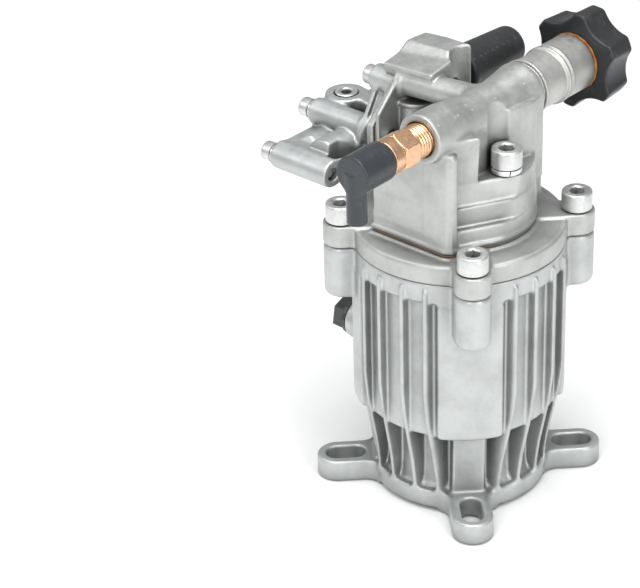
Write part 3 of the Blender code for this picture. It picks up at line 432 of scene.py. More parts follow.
def gallery(x, y, z):
    """The thick inclined tube on top, from the relief valve at the front to the inlet behind."""
    stations = (-38.0, -24.0, -14.0, -2.0, 10.0, 20.0, 26.0, 28.6)
    radii = (10.6, 10.6, 9.4, 9.0, 9.6, 11.2, 12.4, 12.4)
    level = np.interp(y, (RELIEF_START, 28.6), (RELIEF.z, INLET.z))
    tube = np.hypot(x - GALLERY_X, z - level) - np.interp(y, stations, radii)
    return soft_max(tube, span(y, RELIEF_START, 28.3), 0.8)


def side_port(x, y, z):
    """The short stepped tube that runs from the head's left flange to the gallery."""
    away = np.hypot(y - 5.0, z - 175.2 - 0.07 * (x + 33.0))
    tube = soft_max(away - 5.8, span(x, HEAD_FACE, 6.0), 0.4)
    ring = soft_max(away - 7.0, span(x, HEAD_FACE, HEAD_FACE + 1.5), 0.5)
    collar = soft_max(away - 6.5, span(x, HEAD_FACE, HEAD_FACE + 3.6), 0.5)
    return soft_min(soft_min(tube, ring, 0.4), collar, 0.4)


def spindle_block(x, y, z):
    """The block that holds the regulator, with a roof that steps and slopes."""
    along = (x + 41.0) / 26.0
    rise = np.clip((y - 9.4 - 4.3 * along) / 6.8, 0.0, 1.0)
    roof = 182.9 + 0.15 * y + 1.2 * along + 2.5 * rise * rise * (3.0 - 2.0 * rise)
    roof = np.minimum(roof - 0.22 * np.maximum(y - 17.0 - 4.3 * along, 0.0), BLOCK_TOP)
    block = outline_distance(y, z, [(9.0, 162.0), (28.4, 162.0), (28.4, 192.0), (0.4, 192.0),
                                    (0.4, 182.6), (1.6, 178.0), (9.0, 172.0)])
    block = soft_max(block, (z - roof) * 0.95, 0.5)
    return soft_max(block, span(x, -41.0, -15.0), 0.5)


def head_field(x, y, z):
    shape = storeys(x, y, z)
    hollow = np.maximum(np.maximum(x + 14.0, span(y, -29.5, 9.0)), 140.0 - z)
    shape = soft_max(shape, -hollow, 1.0)
    hollow = np.maximum(np.maximum(x + 3.0, y - 9.0), 162.0 - z)
    shape = soft_max(shape, -hollow, 1.0)
    pillar = outline_distance(x, y, [(8.0, -33.3), (20.0, -33.3), (22.3, -31.6), (22.6, -29.4),
                                     (20.0, -26.4), (8.0, -24.0)])
    shape = soft_min(shape, prism(pillar, z, HEAD_FOOT + 0.5, 171.0, 2.2), 0.8)
    shape = soft_min(shape, gallery(x, y, z), 2.4)
    pad = outline_distance(x, y, [(8.0, 3.6), (19.6, 3.6), (20.4, 6.0), (23.2, 18.6), (21.9, 27.8),
                                  (8.0, 27.8)])
    shape = soft_min(shape, prism(pad, z, 140.0, 177.0, 0.7), 0.8)
    column = outline_distance(x, y, [(-2.4, 14.0), (21.9, 14.0), (21.9, 27.8), (-2.4, 27.8)])
    shape = soft_min(shape, prism(column, z, 130.0, 175.0, 1.6), 1.2)
    away = np.hypot(x + 30.0, y - 8.0)
    lip = soft_max(away - 8.2, span(z, 140.0, 168.0), 0.3)
    lip = soft_min(lip, soft_max(away - 9.2, span(z, 166.4, 168.0), 0.4), 0.5)
    shape = soft_min(shape, soft_max(lip, HEAD_FACE - x, 0.3), 0.8)
    shape = soft_min(shape, side_port(x, y, z), 2.2)
    pad = outline_distance(y, z, [(-13.0, 128.5), (26.0, 128.5), (26.0, 170.0), (10.5, 178.0),
                                  (-0.5, 178.0), (-13.0, 166.0)])
    shape = soft_min(shape, prism(pad, x, HEAD_FACE, -32.2, 0.7), 1.0)
    shape = soft_min(shape, spindle_block(x, y, z), 0.5)
    return head_cuts(shape, x, y, z)


def head_cuts(shape, x, y, z):
    """Holes and seats for the bolts, pistons, relief valve, inlet, regulator and manifold screws."""
    for angle in HEAD_BOLT_ANGLES:
        cx, cy = polar(HEAD_BOLT_R, angle)
        away = np.hypot(x - cx, y - cy)
        shape = soft_max(shape, BOLT_HOLE_R - away, 0.4)
        shape = soft_max(shape, np.minimum(LUG_R - away, z - SCREW_SEAT), 0.5)
        cx, cy = polar(PISTON_R, angle + 60.0)
        away = np.hypot(x - cx, y - cy)
        shape = np.maximum(shape, np.minimum(10.2 - away, HEAD_FOOT + 6.4 - z))
        shape = np.maximum(shape, np.minimum(7.0 - away, 163.0 - z))
    cx, cy = polar(HEAD_BOLT_R, HEAD_BOLT_ANGLES[1])
    window = np.maximum(np.maximum(np.abs(x - cx) - LUG_R, cy - y), span(z, SCREW_SEAT, 167.0))
    shape = soft_max(shape, -window, 0.6)
    relief = np.hypot(x - GALLERY_X, z - RELIEF.z)
    shape = soft_max(shape, np.minimum(7.3 - relief, -26.0 - y), 0.4)
    inlet = np.hypot(x - GALLERY_X, z - INLET.z)
    shape = soft_max(shape, np.minimum(10.0 - inlet, y - 20.0), 0.3)
    shape = np.maximum(shape, np.minimum(5.0 - relief, 20.0 - y))
    spindle = np.hypot(x - KNOB.x, z - KNOB.z)
    shape = np.maximum(shape, np.minimum(6.6 - spindle, y - 12.0))
    pit = np.minimum(np.hypot(y - 20.5, z - 181.0) - 0.9, np.hypot(y - 17.0, z - 177.0) - 0.6)
    shape = soft_max(shape, -np.maximum(pit, span(x, -15.9, -13.0)), 0.3)
    for y0, z0, _, _ in MANIFOLD_SCREWS[1:]:
        hole = SMALL_HOLE_R - np.hypot(y - y0, z - z0)
        shape = np.maximum(shape, np.minimum(hole, -20.0 - x))
    return shape


# ---------------------------------------------------------------- outlet manifold

# (y, z, outer end and inner end along X) of the three screw bosses
MANIFOLD_SCREWS = ((-30.0, 142.0, -74.0, -43.2), (-5.0, 153.2, -74.5, -37.0),
                   (5.0, 173.0, -48.5, MANIFOLD_FACE))


def manifold_field(x, y, z):
    plan = outline_distance(x, y, [(-73.5, -29.6), (-44.0, -29.6), (-38.0, -12.0), (-38.0, 17.0),
                                   (-73.5, 14.0)])
    shape = prism(plan, z, 137.0, 148.0, 1.8)
    flange = outline_distance(y, z, [(-13.0, 130.0), (18.0, 130.0), (18.0, 161.0), (9.6, 161.0),
                                     (9.6, 171.0), (0.4, 171.0), (-13.0, 160.0)])
    shape = soft_min(shape, prism(flange, x, -39.4, MANIFOLD_FACE, 0.8), 1.4)
    web = outline_distance(y, z, [(0.6, 172.5), (4.0, 170.0), (4.0, 146.0), (-12.6, 146.0),
                                  (-11.6, 152.8)])
    shape = soft_min(shape, prism(web, x, -46.0, -43.8, 0.5), 0.8)
    behind = outline_distance(y, z, [(1.6, 170.5), (9.6, 171.0), (12.0, 146.0), (-9.0, 146.0),
                                     (-9.0, 153.4)])
    shape = soft_min(shape, prism(behind, x, -44.5, MANIFOLD_FACE, 0.5), 0.8)
    for y0, z0, end, start in MANIFOLD_SCREWS:
        boss = soft_max(np.hypot(y - y0, z - z0) - 5.8, span(x, end, start), 0.6)
        shape = soft_min(shape, boss, 2.0)
    shape = soft_min(shape, rod(x + 52.5, z - 145.2, y, 8.0, -26.0, -6.0, 1.0), 1.2)
    shape = soft_min(shape, rod(x + 64.5, z - 145.0, y, 5.2, -22.0, -7.0, 2.0), 2.0)
    shape = soft_min(shape, rod(x - PLUG.x, y - PLUG.y, z, 9.2, 141.0, 159.3, 0.9), 1.6)
    shape = soft_min(shape, rod(x - OUTLET.x, z - OUTLET.z, y, 12.5, 4.0, 27.0, 0.9), 2.0)
    pocket = outline_distance(x, y, [(-49.0, -27.5), (-44.8, -27.5), (-40.2, -14.5), (-41.5, -8.0),
                                     (-49.0, -20.0)])
    shape = soft_max(shape, -np.maximum(pocket, 141.5 - z), 0.6)
    for y0, z0, _, _ in MANIFOLD_SCREWS:
        shape = np.maximum(shape, SMALL_HOLE_R - np.hypot(y - y0, z - z0))
    shape = soft_max(shape, np.minimum(5.2 - np.hypot(x - PLUG.x, y - PLUG.y), z - 150.0), 0.6)
    return soft_max(shape, np.minimum(8.4 - np.hypot(x - OUTLET.x, z - OUTLET.z), y - 12.0), 0.5)


# ---------------------------------------------------------------- inlet, relief valve and outlet

NECK_SHAPE = ((8.0, 13.0), (9.7, 13.0), (9.7, 28.3), (9.8, 28.6), (11.0, 28.8), (11.0, 29.8),
              (12.3, 30.2), (12.3, 31.2), (11.6, 31.8), (11.7, 44.6), (12.8, 45.4), (12.8, 46.4),
              (11.9, 47.0), (12.0, 47.6), (12.7, 48.2), (12.4, 49.2), (12.4, NECK_TIP - 6.4),
              (10.4, NECK_TIP - 6.4), (10.4, NECK_TIP - 2.0), (12.6, NECK_TIP - 1.8),
              (12.6, NECK_TIP), (8.0, NECK_TIP))
NUT_TURN = 54.0


def neck_field(x, y, z):
    return turned(x - GALLERY_X, z - INLET.z, y, NECK_SHAPE)


def nut_field(x, y, z):
    """Blunt lobes round a thick ring, hollowed from the hose side."""
    u, v = x - GALLERY_X, z - INLET.z
    radius = np.hypot(u, v)
    start, end = low("inlet_hose_nut").y, high("inlet_hose_nut").y
    shape = radius - np.interp(y, (start, end), (21.75, 20.7))
    for k in range(6):
        cu, cv = polar(32.0, NUT_TURN + 60.0 * k)
        shape = soft_max(shape, 14.6 - np.hypot(u - cu, v - cv), 0.9)
    shape = soft_max(shape, span(y, start, end), 1.2)
    shape = soft_max(shape, 10.75 - radius, 0.5)
    wave = np.abs(((y / 2.2 - np.arctan2(v, u) / (2.0 * math.pi)) % 1.0) - 0.5)
    socket = np.minimum(13.2 + 0.35 * wave - radius, y - start - 2.9)
    return soft_max(shape, socket, 0.4)


def relief_field(x, y, z):
    """Golden thread, hexagon, waist and collar, all on the valve's axis, which runs to -Y."""
    u, v, w = x - GALLERY_X, z - RELIEF.z, RELIEF_START - y
    shape = thread(u, v, w, 7.15, 0.5, 1.5, -11.0, 8.0)
    flats = soft_max(hexagon(u, v, 14.6, 0.0), span(w, 7.5, 16.6), 0.3)
    flats = soft_max(flats, np.hypot(u, v) + np.maximum(w - 15.6, 8.5 - w) * 0.8 - 8.4, 0.2)
    shape = np.minimum(shape, flats)
    collar = soft_max(np.hypot(u, v) - 7.7, span(w, 17.1, CAP_START - 0.4), 0.5)
    shape = np.minimum(shape, soft_min(collar, rod(u, v, w, 7.0, 15.0, CAP_START - 0.3, 0.2), 0.3))
    shape = np.minimum(shape, rod(u, v, w, 5.2, 15.0, 32.6, 0.6))
    return np.maximum(shape, 2.2 - np.hypot(u, v))


def relief_cap_field(x, y, z):
    """The rubber cap over the valve, with its short spout down."""
    u, v, w = x - GALLERY_X, z - RELIEF.z, RELIEF_START - y
    away = np.hypot(u + 1.0, w - 37.0)
    foot = low("thermal_valve_cap").z - RELIEF.z
    shape = rod(u, v, w, 8.2, CAP_START, 40.7, 0.8)
    shape = soft_min(shape, soft_max(away - 4.2, span(v, foot, 0.0), 0.4), 1.2)
    shape = soft_max(shape, np.minimum(5.5 - np.hypot(u, v), 35.0 - w), 0.3)
    return soft_max(shape, np.minimum(2.6 - away, -v), 0.3)


def outlet_field(x, y, z):
    """The threaded brass union for the high pressure hose, along +Y."""
    u, v, w = x - OUTLET.x, z - OUTLET.z, y - UNION_START
    shape = rod(u, v, w, 8.1, -12.0, 0.5, 0.4)
    flats = soft_max(hexagon(u, v, 25.4, 0.0), span(w, 0.0, 8.0), 0.3)
    flats = soft_max(flats, np.hypot(u, v) + np.maximum(w - 7.0, 1.0 - w) * 0.8 - 14.4, 0.2)
    shape = np.minimum(shape, flats)
    shape = np.minimum(shape, rod(u, v, w, 9.9, 7.0, 10.5, 0.3))
    shape = np.minimum(shape, thread(u, v, w, 11.0, 0.75, 1.5, 9.4, 20.8))
    shape = np.maximum(shape, 4.4 - np.hypot(u, v))
    return soft_max(shape, np.minimum(7.6 - np.hypot(u, v), w - 10.0), 0.4)


def knob_field(x, y, z):
    """The tapered grip of the pressure regulator, hollow where its stem goes in."""
    u, v, w = x - KNOB.x, z - KNOB.z, y - KNOB_START
    taper = np.interp(w, (3.0, 40.0), (10.6, 8.7))
    shape = soft_max(np.hypot(u, v) - taper, span(w, 3.0, 40.0), 2.0)
    return soft_max(shape, np.minimum(4.6 - np.hypot(u, v), 25.0 - w), 0.4)


def stem_field(x, y, z):
    u, v, w = x - KNOB.x, z - KNOB.z, y - KNOB_START
    shape = rod(u, v, w, 6.2, -10.0, 1.5, 0.6)
    shape = np.minimum(shape, thread(u, v, w, 4.2, 0.5, 1.25, 0.0, 24.0))
    return np.minimum(shape, rod(u, v, w, 4.0, -12.0, -8.0, 0.4))


# ---------------------------------------------------------------- shaft and screws

def shaft_field(x, y, z):
    """The hollow shaft that takes the engine's crankshaft, with its keyway."""
    profile = ((0.0, 57.0), (9.55, 56.0), (9.55, 3.8), (10.35, 3.0), (14.4, 3.0), (15.0, 3.8),
               (15.0, 28.6), (19.0, 28.6), (19.0, 47.7), (15.0, 47.7), (15.0, 59.2), (14.2, 60.0),
               (0.0, 60.0))
    shape = turned(x, y, z, profile)
    key = np.maximum(np.maximum(np.abs(y) - 2.4, x - 11.95), np.maximum(-x, z - 53.0))
    return np.maximum(shape, -key)


M8_HEAD, M5_HEAD = 8.0, 5.0


def lathe(name, profile, segments):
    """Revolves a closed (radius, height) outline about Z. Lengths in millimetres."""
    data = bmesh.new()
    rings = []
    for radius, height in profile:
        count = 1 if radius < 1e-6 else segments
        ring = []
        for k in range(count):
            ring.append(data.verts.new((*polar(radius, 360.0 * k / count), height)))
        rings.append(ring)
    for first, second in zip(rings, rings[1:] + rings[:1]):
        if len(first) == 1 and len(second) == 1:
            continue
        for k in range(segments):
            n = (k + 1) % segments
            corners = [first[k % len(first)], first[n % len(first)],
                       second[n % len(second)], second[k % len(second)]]
            data.faces.new(list(dict.fromkeys(corners)))
    bmesh.ops.recalc_face_normals(data, faces=data.faces)
    return linked_bmesh(name, data)


def hexagon_prism(across, start, end):
    data = bmesh.new()
    corners = [polar(across / math.sqrt(3.0), 60.0 * k) for k in range(6)]
    bottom = [data.verts.new((u, v, start)) for u, v in corners]
    top = [data.verts.new((u, v, end)) for u, v in corners]
    data.faces.new(bottom[::-1])
    data.faces.new(top)
    for k in range(6):
        n = (k + 1) % 6
        data.faces.new((bottom[k], bottom[n], top[n], top[k]))
    return linked_bmesh("cutter", data)


def carve(item, tool):
    """Cuts one object out of another and applies the result."""
    step = item.modifiers.new("carve", "BOOLEAN")
    step.operation = "DIFFERENCE"
    step.solver = "EXACT"
    step.object = tool
    graph = bpy.context.evaluated_depsgraph_get()
    graph.update()
    mesh = bpy.data.meshes.new_from_object(item.evaluated_get(graph))
    item.modifiers.clear()
    item.data = mesh
    bpy.data.objects.remove(tool, do_unlink=True)


def settle(item, matrix):
    """Moves a mesh built along Z into place, from millimetres about the axis to the row frame."""
    to_row = Matrix.Translation((AXIS_X, AXIS_Y, 0.0)) @ Matrix.Scale(0.001, 4)
    item.data.transform(to_row @ matrix)
    item.data.shade_smooth()
    item.data.set_sharp_from_angle(angle=math.radians(32.0))
    return item


def socket_screw(name, head_r, head, shank_r, length, flats):
    """Cap screw with a rounded rim, a chamfered hexagon socket and a plain shank below z = 0."""
    rim = [(head_r - 0.9 + 0.9 * math.cos(math.radians(a)), head - 0.9 + 0.9 * math.sin(math.radians(a)))
           for a in (0.0, 22.5, 45.0, 67.5, 90.0)]
    profile = [(0.0, -length), (shank_r - 0.6, -length), (shank_r, 0.6 - length), (shank_r, 0.0),
               (head_r - 0.3, 0.0), (head_r, 0.3)] + rim
    dish = flats / math.sqrt(3.0) + 0.35
    profile += [(dish, head), (dish - 0.7, head - 0.7), (0.0, head - 0.7)]
    screw = lathe(name, profile, 72)
    carve(screw, hexagon_prism(flats, head * 0.45, head + 1.0))
    return screw


def spring_washer(name, inner, outer, thick):
    """A split ring whose two ends stand a little apart along a slanting cut."""
    section = ((inner, 0.15), (inner + 0.15, 0.0), (outer - 0.2, 0.0), (outer, 0.2),
               (outer, thick - 0.2), (outer - 0.2, thick), (inner + 0.15, thick), (inner, thick - 0.15))
    data = bmesh.new()
    rings = []
    count = 72
    for k in range(count + 1):
        angle = math.radians(-38.0 + 356.0 * k / count)
        ring = []
        for radius, height in section:
            lean = angle + 0.05 * height / thick
            ring.append(data.verts.new((radius * math.cos(lean), radius * math.sin(lean), height)))
        rings.append(ring)
    for first, second in zip(rings, rings[1:]):
        for k in range(len(section)):
            n = (k + 1) % len(section)
            data.faces.new((first[k], second[k], second[n], first[n]))
    data.faces.new(rings[0])
    data.faces.new(rings[-1][::-1])
    bmesh.ops.recalc_face_normals(data, faces=data.faces)
    return linked_bmesh(name, data)


def upright(node, z=0.0):
    """Matrix for a piece that stands along Z, with its own zero at a given height."""
    spot = middle(node)
    return Matrix.Translation((spot.x, spot.y, z))


def sideways(node, x):
    """Matrix for a piece built along Z whose +Z points to -X from a given x."""
    spot = middle(node)
    return Matrix.Translation((x, spot.y, spot.z)) @ Matrix.Rotation(math.radians(-90.0), 4, "Y")


def spun(degrees):
    return Matrix.Rotation(math.radians(degrees), 4, "Z")


def make_standing_screw(name, node, degrees, look):
    """An M8 cap screw with its head up, in the place of a CAD bolt."""
    seat = high(node).z - M8_HEAD
    screw = socket_screw(name, 6.5, M8_HEAD, 4.0, seat - low(node).z, 6.0)
    place(settle(screw, upright(node, seat) @ spun(degrees)), node, look)


def make_screws(looks):
    for k in range(1, 5):
        make_standing_screw(f"case_screw_{k}", f"case_bolt_{k}", 17.0 * k, looks["zinc"])
    for k in range(1, 4):
        make_standing_screw(f"head_screw_{k}", f"head_bolt_{k}", 23.0 * k, looks["zinc"])
        node = f"head_spring_washer_{k}"
        washer = spring_washer(f"head_lock_washer_{k}", 4.4, 6.5, 2.1)
        place(settle(washer, upright(node, low(node).z)), node, looks["zinc_bright"])
        node = f"manifold_screw_{k}"
        seat = low(node).x + M5_HEAD
        screw = socket_screw(f"manifold_cap_screw_{k}", 4.25, M5_HEAD, 2.5, high(node).x - seat, 4.0)
        place(settle(screw, sideways(node, seat) @ spun(13.0 * k)), node, looks["zinc"])
        node = f"manifold_washer_{k}"
        washer = spring_washer(f"manifold_lock_washer_{k}", 2.9, 4.25, 1.3)
        place(settle(washer, sideways(node, high(node).x)), node, looks["zinc_bright"])


def make_plugs(looks):
    top = high("manifold_plug").z
    profile = [(0.0, 151.0), (4.5, 151.0), (4.9, 151.4), (4.9, top - 0.4), (4.5, top), (3.3, top),
               (2.9, top - 0.4), (0.0, top - 0.4)]
    plug = lathe("manifold_socket_plug", profile, 48)
    carve(plug, hexagon_prism(4.5, top - 3.5, top + 1.0))
    place(settle(plug, upright("manifold_plug")), "manifold_plug", looks["zinc"])


# ---------------------------------------------------------------- materials

def as_colour(value):
    """A red, green and blue tuple gets its alpha; a node's output stays as it is."""
    return (*value, 1.0) if isinstance(value, tuple) else value


class Shader:
    """A Principled material and short calls for the nodes in front of it."""

    def __init__(self, name):
        self.material = bpy.data.materials.new(name)
        self.material.use_nodes = True
        self.tree = self.material.node_tree
        self.principled = self.tree.nodes["Principled BSDF"]
        self.place = self.tree.nodes.new("ShaderNodeTexCoord").outputs["Object"]

    def node(self, kind, **inputs):
        made = self.tree.nodes.new(kind)
        for name, value in inputs.items():
            self.feed(made.inputs[name.replace("_", " ")], value)
        return made

    def feed(self, socket, value):
        if isinstance(value, bpy.types.NodeSocket):
            self.tree.links.new(value, socket)
        else:
            socket.default_value = value

    def noise(self, size_mm, detail=3.0, rough=0.5):
        """Noise whose blobs measure about size_mm."""
        made = self.node("ShaderNodeTexNoise", Vector=self.place, Scale=1000.0 / size_mm,
                         Detail=detail, Roughness=rough)
        return made.outputs["Fac"]

    def spots(self, size_mm):
        """0 at scattered points, rising to their cells' borders."""
        made = self.node("ShaderNodeTexVoronoi", Vector=self.place, Scale=1000.0 / size_mm)
        return made.outputs["Distance"]

    def stretch(self, value, start, end, first=0.0, last=1.0):
        """Maps start..end onto first..last, held at both ends."""
        made = self.tree.nodes.new("ShaderNodeMapRange")
        for socket, item in zip(made.inputs[:5], (value, start, end, first, last)):
            self.feed(socket, item)
        return made.outputs["Result"]

    def mix(self, factor, first, second):
        made = self.tree.nodes.new("ShaderNodeMix")
        made.data_type = "RGBA"
        self.feed(made.inputs[0], factor)
        self.feed(made.inputs[6], as_colour(first))
        self.feed(made.inputs[7], as_colour(second))
        return made.outputs[2]

    def math(self, operation, first, second):
        made = self.tree.nodes.new("ShaderNodeMath")
        made.operation = operation
        self.feed(made.inputs[0], first)
        self.feed(made.inputs[1], second)
        return made.outputs[0]

    def edges(self, start=0.51, end=0.58):
        """1 on outer edges, 0 elsewhere."""
        shape = self.tree.nodes.new("ShaderNodeNewGeometry")
        return self.stretch(shape.outputs["Pointiness"], start, end)

    def hollows(self, distance_mm):
        """0 in narrow hollows, 1 in the open."""
        made = self.node("ShaderNodeAmbientOcclusion", Distance=distance_mm / 1000.0)
        made.samples = 6
        return made.outputs["AO"]

    def bump(self, height, depth_mm, strength=1.0, before=None):
        made = self.node("ShaderNodeBump", Height=height, Distance=depth_mm / 1000.0, Strength=strength)
        if before is not None:
            self.feed(made.inputs["Normal"], before)
        return made.outputs["Normal"]

    def finish(self, colour, roughness, metallic, normal=None, **extra):
        self.feed(self.principled.inputs["Base Color"], as_colour(colour))
        self.feed(self.principled.inputs["Roughness"], roughness)
        self.feed(self.principled.inputs["Metallic"], metallic)
        if normal is not None:
            self.feed(self.principled.inputs["Normal"], normal)
        for name, value in extra.items():
            self.feed(self.principled.inputs[name.replace("_", " ")], value)
        return self.material


def cast_look(name, base, dark, painted_highlight, grain):
    """Die-cast aluminium: fine grain, faint flow stains, painted shade in the hollows and a painted
    highlight on the outer edges.
    """
    s = Shader(name)
    stain = s.stretch(s.noise(14.0, 4.0, 0.6), 0.42, 0.66)
    colour = s.mix(s.math("MULTIPLY", stain, 0.45), base, dark)
    speck = s.stretch(s.noise(0.9, 2.0, 0.7), 0.60, 0.78)
    colour = s.mix(s.math("MULTIPLY", speck, 0.22), colour, dark)
    # Painted highlight: the outer edges are lightened towards a pale grey.
    colour = s.mix(s.math("MULTIPLY", s.edges(), 0.75), colour, painted_highlight)
    # Painted shade: hollows within about 9 mm are darkened almost to black.
    depth = s.math("SUBTRACT", 1.0, s.hollows(9.0))
    colour = s.mix(s.math("MULTIPLY", depth, 0.95), colour, tuple(c * 0.22 for c in dark))
    rough = s.stretch(s.noise(2.2, 3.0), 0.3, 0.7, 0.40, 0.54)
    rough = s.math("ADD", rough, s.math("MULTIPLY", s.edges(), -0.12))
    fine = s.bump(s.noise(0.55, 2.0, 0.6), grain, 0.9)
    coarse = s.bump(s.noise(3.2, 3.0, 0.5), grain * 2.2, 0.7, fine)
    pits = s.bump(s.stretch(s.spots(3.4), 0.03, 0.12), 0.05, 0.5, coarse)
    return s.finish(colour, rough, 0.82, pits)


def zinc_look(name, base, rough):
    """Zinc plate: a cloudy grey with a painted highlight on its edges and painted shade, near black, in
    its sockets.
    """
    s = Shader(name)
    cloud = s.stretch(s.noise(1.8, 3.0), 0.35, 0.7)
    colour = s.mix(cloud, base, tuple(c * 0.80 for c in base))
    # Painted highlight: the outer edges are lightened towards a pale grey.
    colour = s.mix(s.math("MULTIPLY", s.edges(), 0.7), colour, (0.86, 0.86, 0.85))
    # Painted shade: sockets and narrow hollows are darkened to near black.
    depth = s.stretch(s.hollows(3.5), 0.35, 0.85, 1.0, 0.0)
    colour = s.mix(s.math("MULTIPLY", depth, 0.95), colour, (0.02, 0.02, 0.02))
    return s.finish(colour, s.stretch(s.noise(0.8), 0.3, 0.7, rough - 0.06, rough + 0.08), 0.9,
                    s.bump(s.noise(0.35, 2.0), 0.02, 0.7))


def steel_look(name, base, rough):
    """Ground steel with fine marks round it."""
    s = Shader(name)
    marks = s.stretch(s.noise(0.5, 4.0, 0.7), 0.35, 0.65)
    colour = s.mix(s.math("MULTIPLY", marks, 0.4), base, tuple(c * 0.7 for c in base))
    stain = s.stretch(s.noise(8.0, 3.0), 0.5, 0.7)
    colour = s.mix(s.math("MULTIPLY", stain, 0.3), colour, (0.30, 0.28, 0.25))
    return s.finish(colour, s.stretch(s.noise(1.5), 0.3, 0.7, rough - 0.05, rough + 0.1), 1.0,
                    s.bump(s.noise(0.25, 2.0), 0.012, 0.6))


def brass_look():
    """Turned brass: uneven tone, painted brown shade in the thread's roots and a painted pale highlight
    on its crests.
    """
    s = Shader("brass_turned")
    tone = s.stretch(s.noise(2.5, 3.0), 0.35, 0.68)
    colour = s.mix(tone, (0.86, 0.56, 0.36), (0.76, 0.45, 0.26))
    # Painted shade: the thread's roots and other narrow hollows are darkened to brown.
    depth = s.math("SUBTRACT", 1.0, s.hollows(1.6))
    colour = s.mix(depth, colour, (0.45, 0.20, 0.05))
    # Painted highlight: the crests and outer edges are lightened to a pale gold.
    colour = s.mix(s.math("MULTIPLY", s.edges(), 0.6), colour, (1.0, 0.82, 0.62))
    return s.finish(colour, s.stretch(s.noise(0.7), 0.3, 0.7, 0.24, 0.36), 0.95,
                    s.bump(s.noise(0.3, 2.0), 0.015, 0.6))


def plastic_look(name, base, edge, rough, grain_mm, depth_mm):
    """Moulded plastic: a fine leathery grain, slight scuffs and a painted highlight on its edges."""
    s = Shader(name)
    scuff = s.stretch(s.noise(6.0, 5.0, 0.65), 0.55, 0.75)
    colour = s.mix(s.math("MULTIPLY", scuff, 0.35), base, edge)
    # Painted highlight: the outer edges are paled towards the edge colour, which the real scuffs share.
    colour = s.mix(s.math("MULTIPLY", s.edges(0.50, 0.58), 0.55), colour, edge)
    shine = s.stretch(s.noise(3.0, 3.0), 0.3, 0.7, rough - 0.07, rough + 0.07)
    return s.finish(colour, shine, 0.0, s.bump(s.noise(grain_mm, 2.0), depth_mm, 0.8),
                    Specular_IOR_Level=0.5)


def paper_look():
    s = Shader("gasket_fibre")
    colour = s.mix(s.noise(0.6, 3.0), (0.14, 0.09, 0.06), (0.30, 0.21, 0.13))
    return s.finish(colour, 0.85, 0.0, s.bump(s.noise(0.4, 3.0), 0.05, 0.8))


def amber_look():
    s = Shader("amber_ring")
    colour = s.mix(s.stretch(s.noise(4.0, 2.0), 0.4, 0.6), (0.46, 0.24, 0.07), (0.34, 0.11, 0.04))
    return s.finish(colour, 0.38, 0.1, s.bump(s.noise(0.5, 2.0), 0.02, 0.6))


def mesh_look():
    """Woven wire: two crossed sets of fine ridges."""
    s = Shader("woven_wire")
    heights = []
    for direction in ("X", "Z"):
        wave = s.node("ShaderNodeTexWave", Vector=s.place, Scale=320.0)
        wave.bands_direction = direction
        heights.append(wave.outputs["Fac"])
    weave = s.math("MAXIMUM", *heights)
    colour = s.mix(weave, (0.08, 0.08, 0.09), (0.60, 0.62, 0.64))
    return s.finish(colour, 0.35, 0.9, s.bump(weave, 0.15, 0.9))


def make_looks():
    return {
        # The cast looks take a base, a stain colour whose darkened copy is also the painted shade, and a
        # painted highlight colour for the edges; the plastic looks take a base and a scuff colour that
        # also paints the highlight on their edges.
        "cast": cast_look("cast_aluminium_grain", (0.54, 0.555, 0.55), (0.36, 0.37, 0.365),
                          (0.92, 0.92, 0.91), 0.05),
        "cast_head": cast_look("cast_head_grain", (0.52, 0.53, 0.515), (0.34, 0.345, 0.33),
                               (0.90, 0.90, 0.88), 0.07),
        "neck": cast_look("turned_neck_grain", (0.55, 0.55, 0.53), (0.38, 0.37, 0.35),
                          (0.92, 0.92, 0.90), 0.04),
        "zinc": zinc_look("zinc_plate", (0.60, 0.61, 0.60), 0.40),
        "zinc_bright": zinc_look("zinc_plate_bright", (0.74, 0.74, 0.73), 0.34),
        "steel": steel_look("ground_steel_marks", (0.56, 0.57, 0.59), 0.24),
        "spring": steel_look("spring_wire_marks", (0.40, 0.41, 0.43), 0.32),
        "brass": brass_look(),
        "nut": plastic_look("nut_plastic", (0.020, 0.021, 0.022), (0.075, 0.078, 0.080),
                            0.36, 0.5, 0.03),
        "knob": plastic_look("knob_plastic", (0.022, 0.023, 0.024), (0.070, 0.072, 0.075),
                             0.46, 0.4, 0.02),
        "oil_plug": plastic_look("oil_plug_plastic", (0.018, 0.018, 0.019), (0.080, 0.080, 0.080),
                                 0.34, 0.5, 0.02),
        "cap": plastic_look("cap_rubber", (0.032, 0.037, 0.042), (0.110, 0.120, 0.130),
                            0.33, 0.8, 0.02),
        "rubber": plastic_look("seal_rubber", (0.030, 0.031, 0.032), (0.060, 0.060, 0.060),
                               0.60, 0.4, 0.03),
        "paper": paper_look(),
        "amber": amber_look(),
        "wire": mesh_look(),
    }


# ---------------------------------------------------------------- pieces

def make_castings(looks):
    """The castings are softened once, so their edges round over a grid step or so."""
    jobs = (("crankcase_casting", "crankcase", (-52.0, -52.0, 0.0), (52.0, 52.0, CASE_TOP), 0.55,
             case_field, "cast"),
            ("guide_flange_casting", "guide_flange", (-52.0, -52.0, DISC[0]), (52.0, 52.0, DISC[3]),
             0.5, guide_field, "cast_head"),
            ("pump_head_casting", "pump_head", low("pump_head"), high("pump_head"), 0.45,
             head_field, "cast_head"),
            ("manifold_casting", "manifold", low("manifold"), high("manifold"), 0.4,
             manifold_field, "cast"))
    for name, node, corner_low, corner_high, step, field, look in jobs:
        place(solid(name, corner_low, corner_high, step, field, 1), node, looks[look])


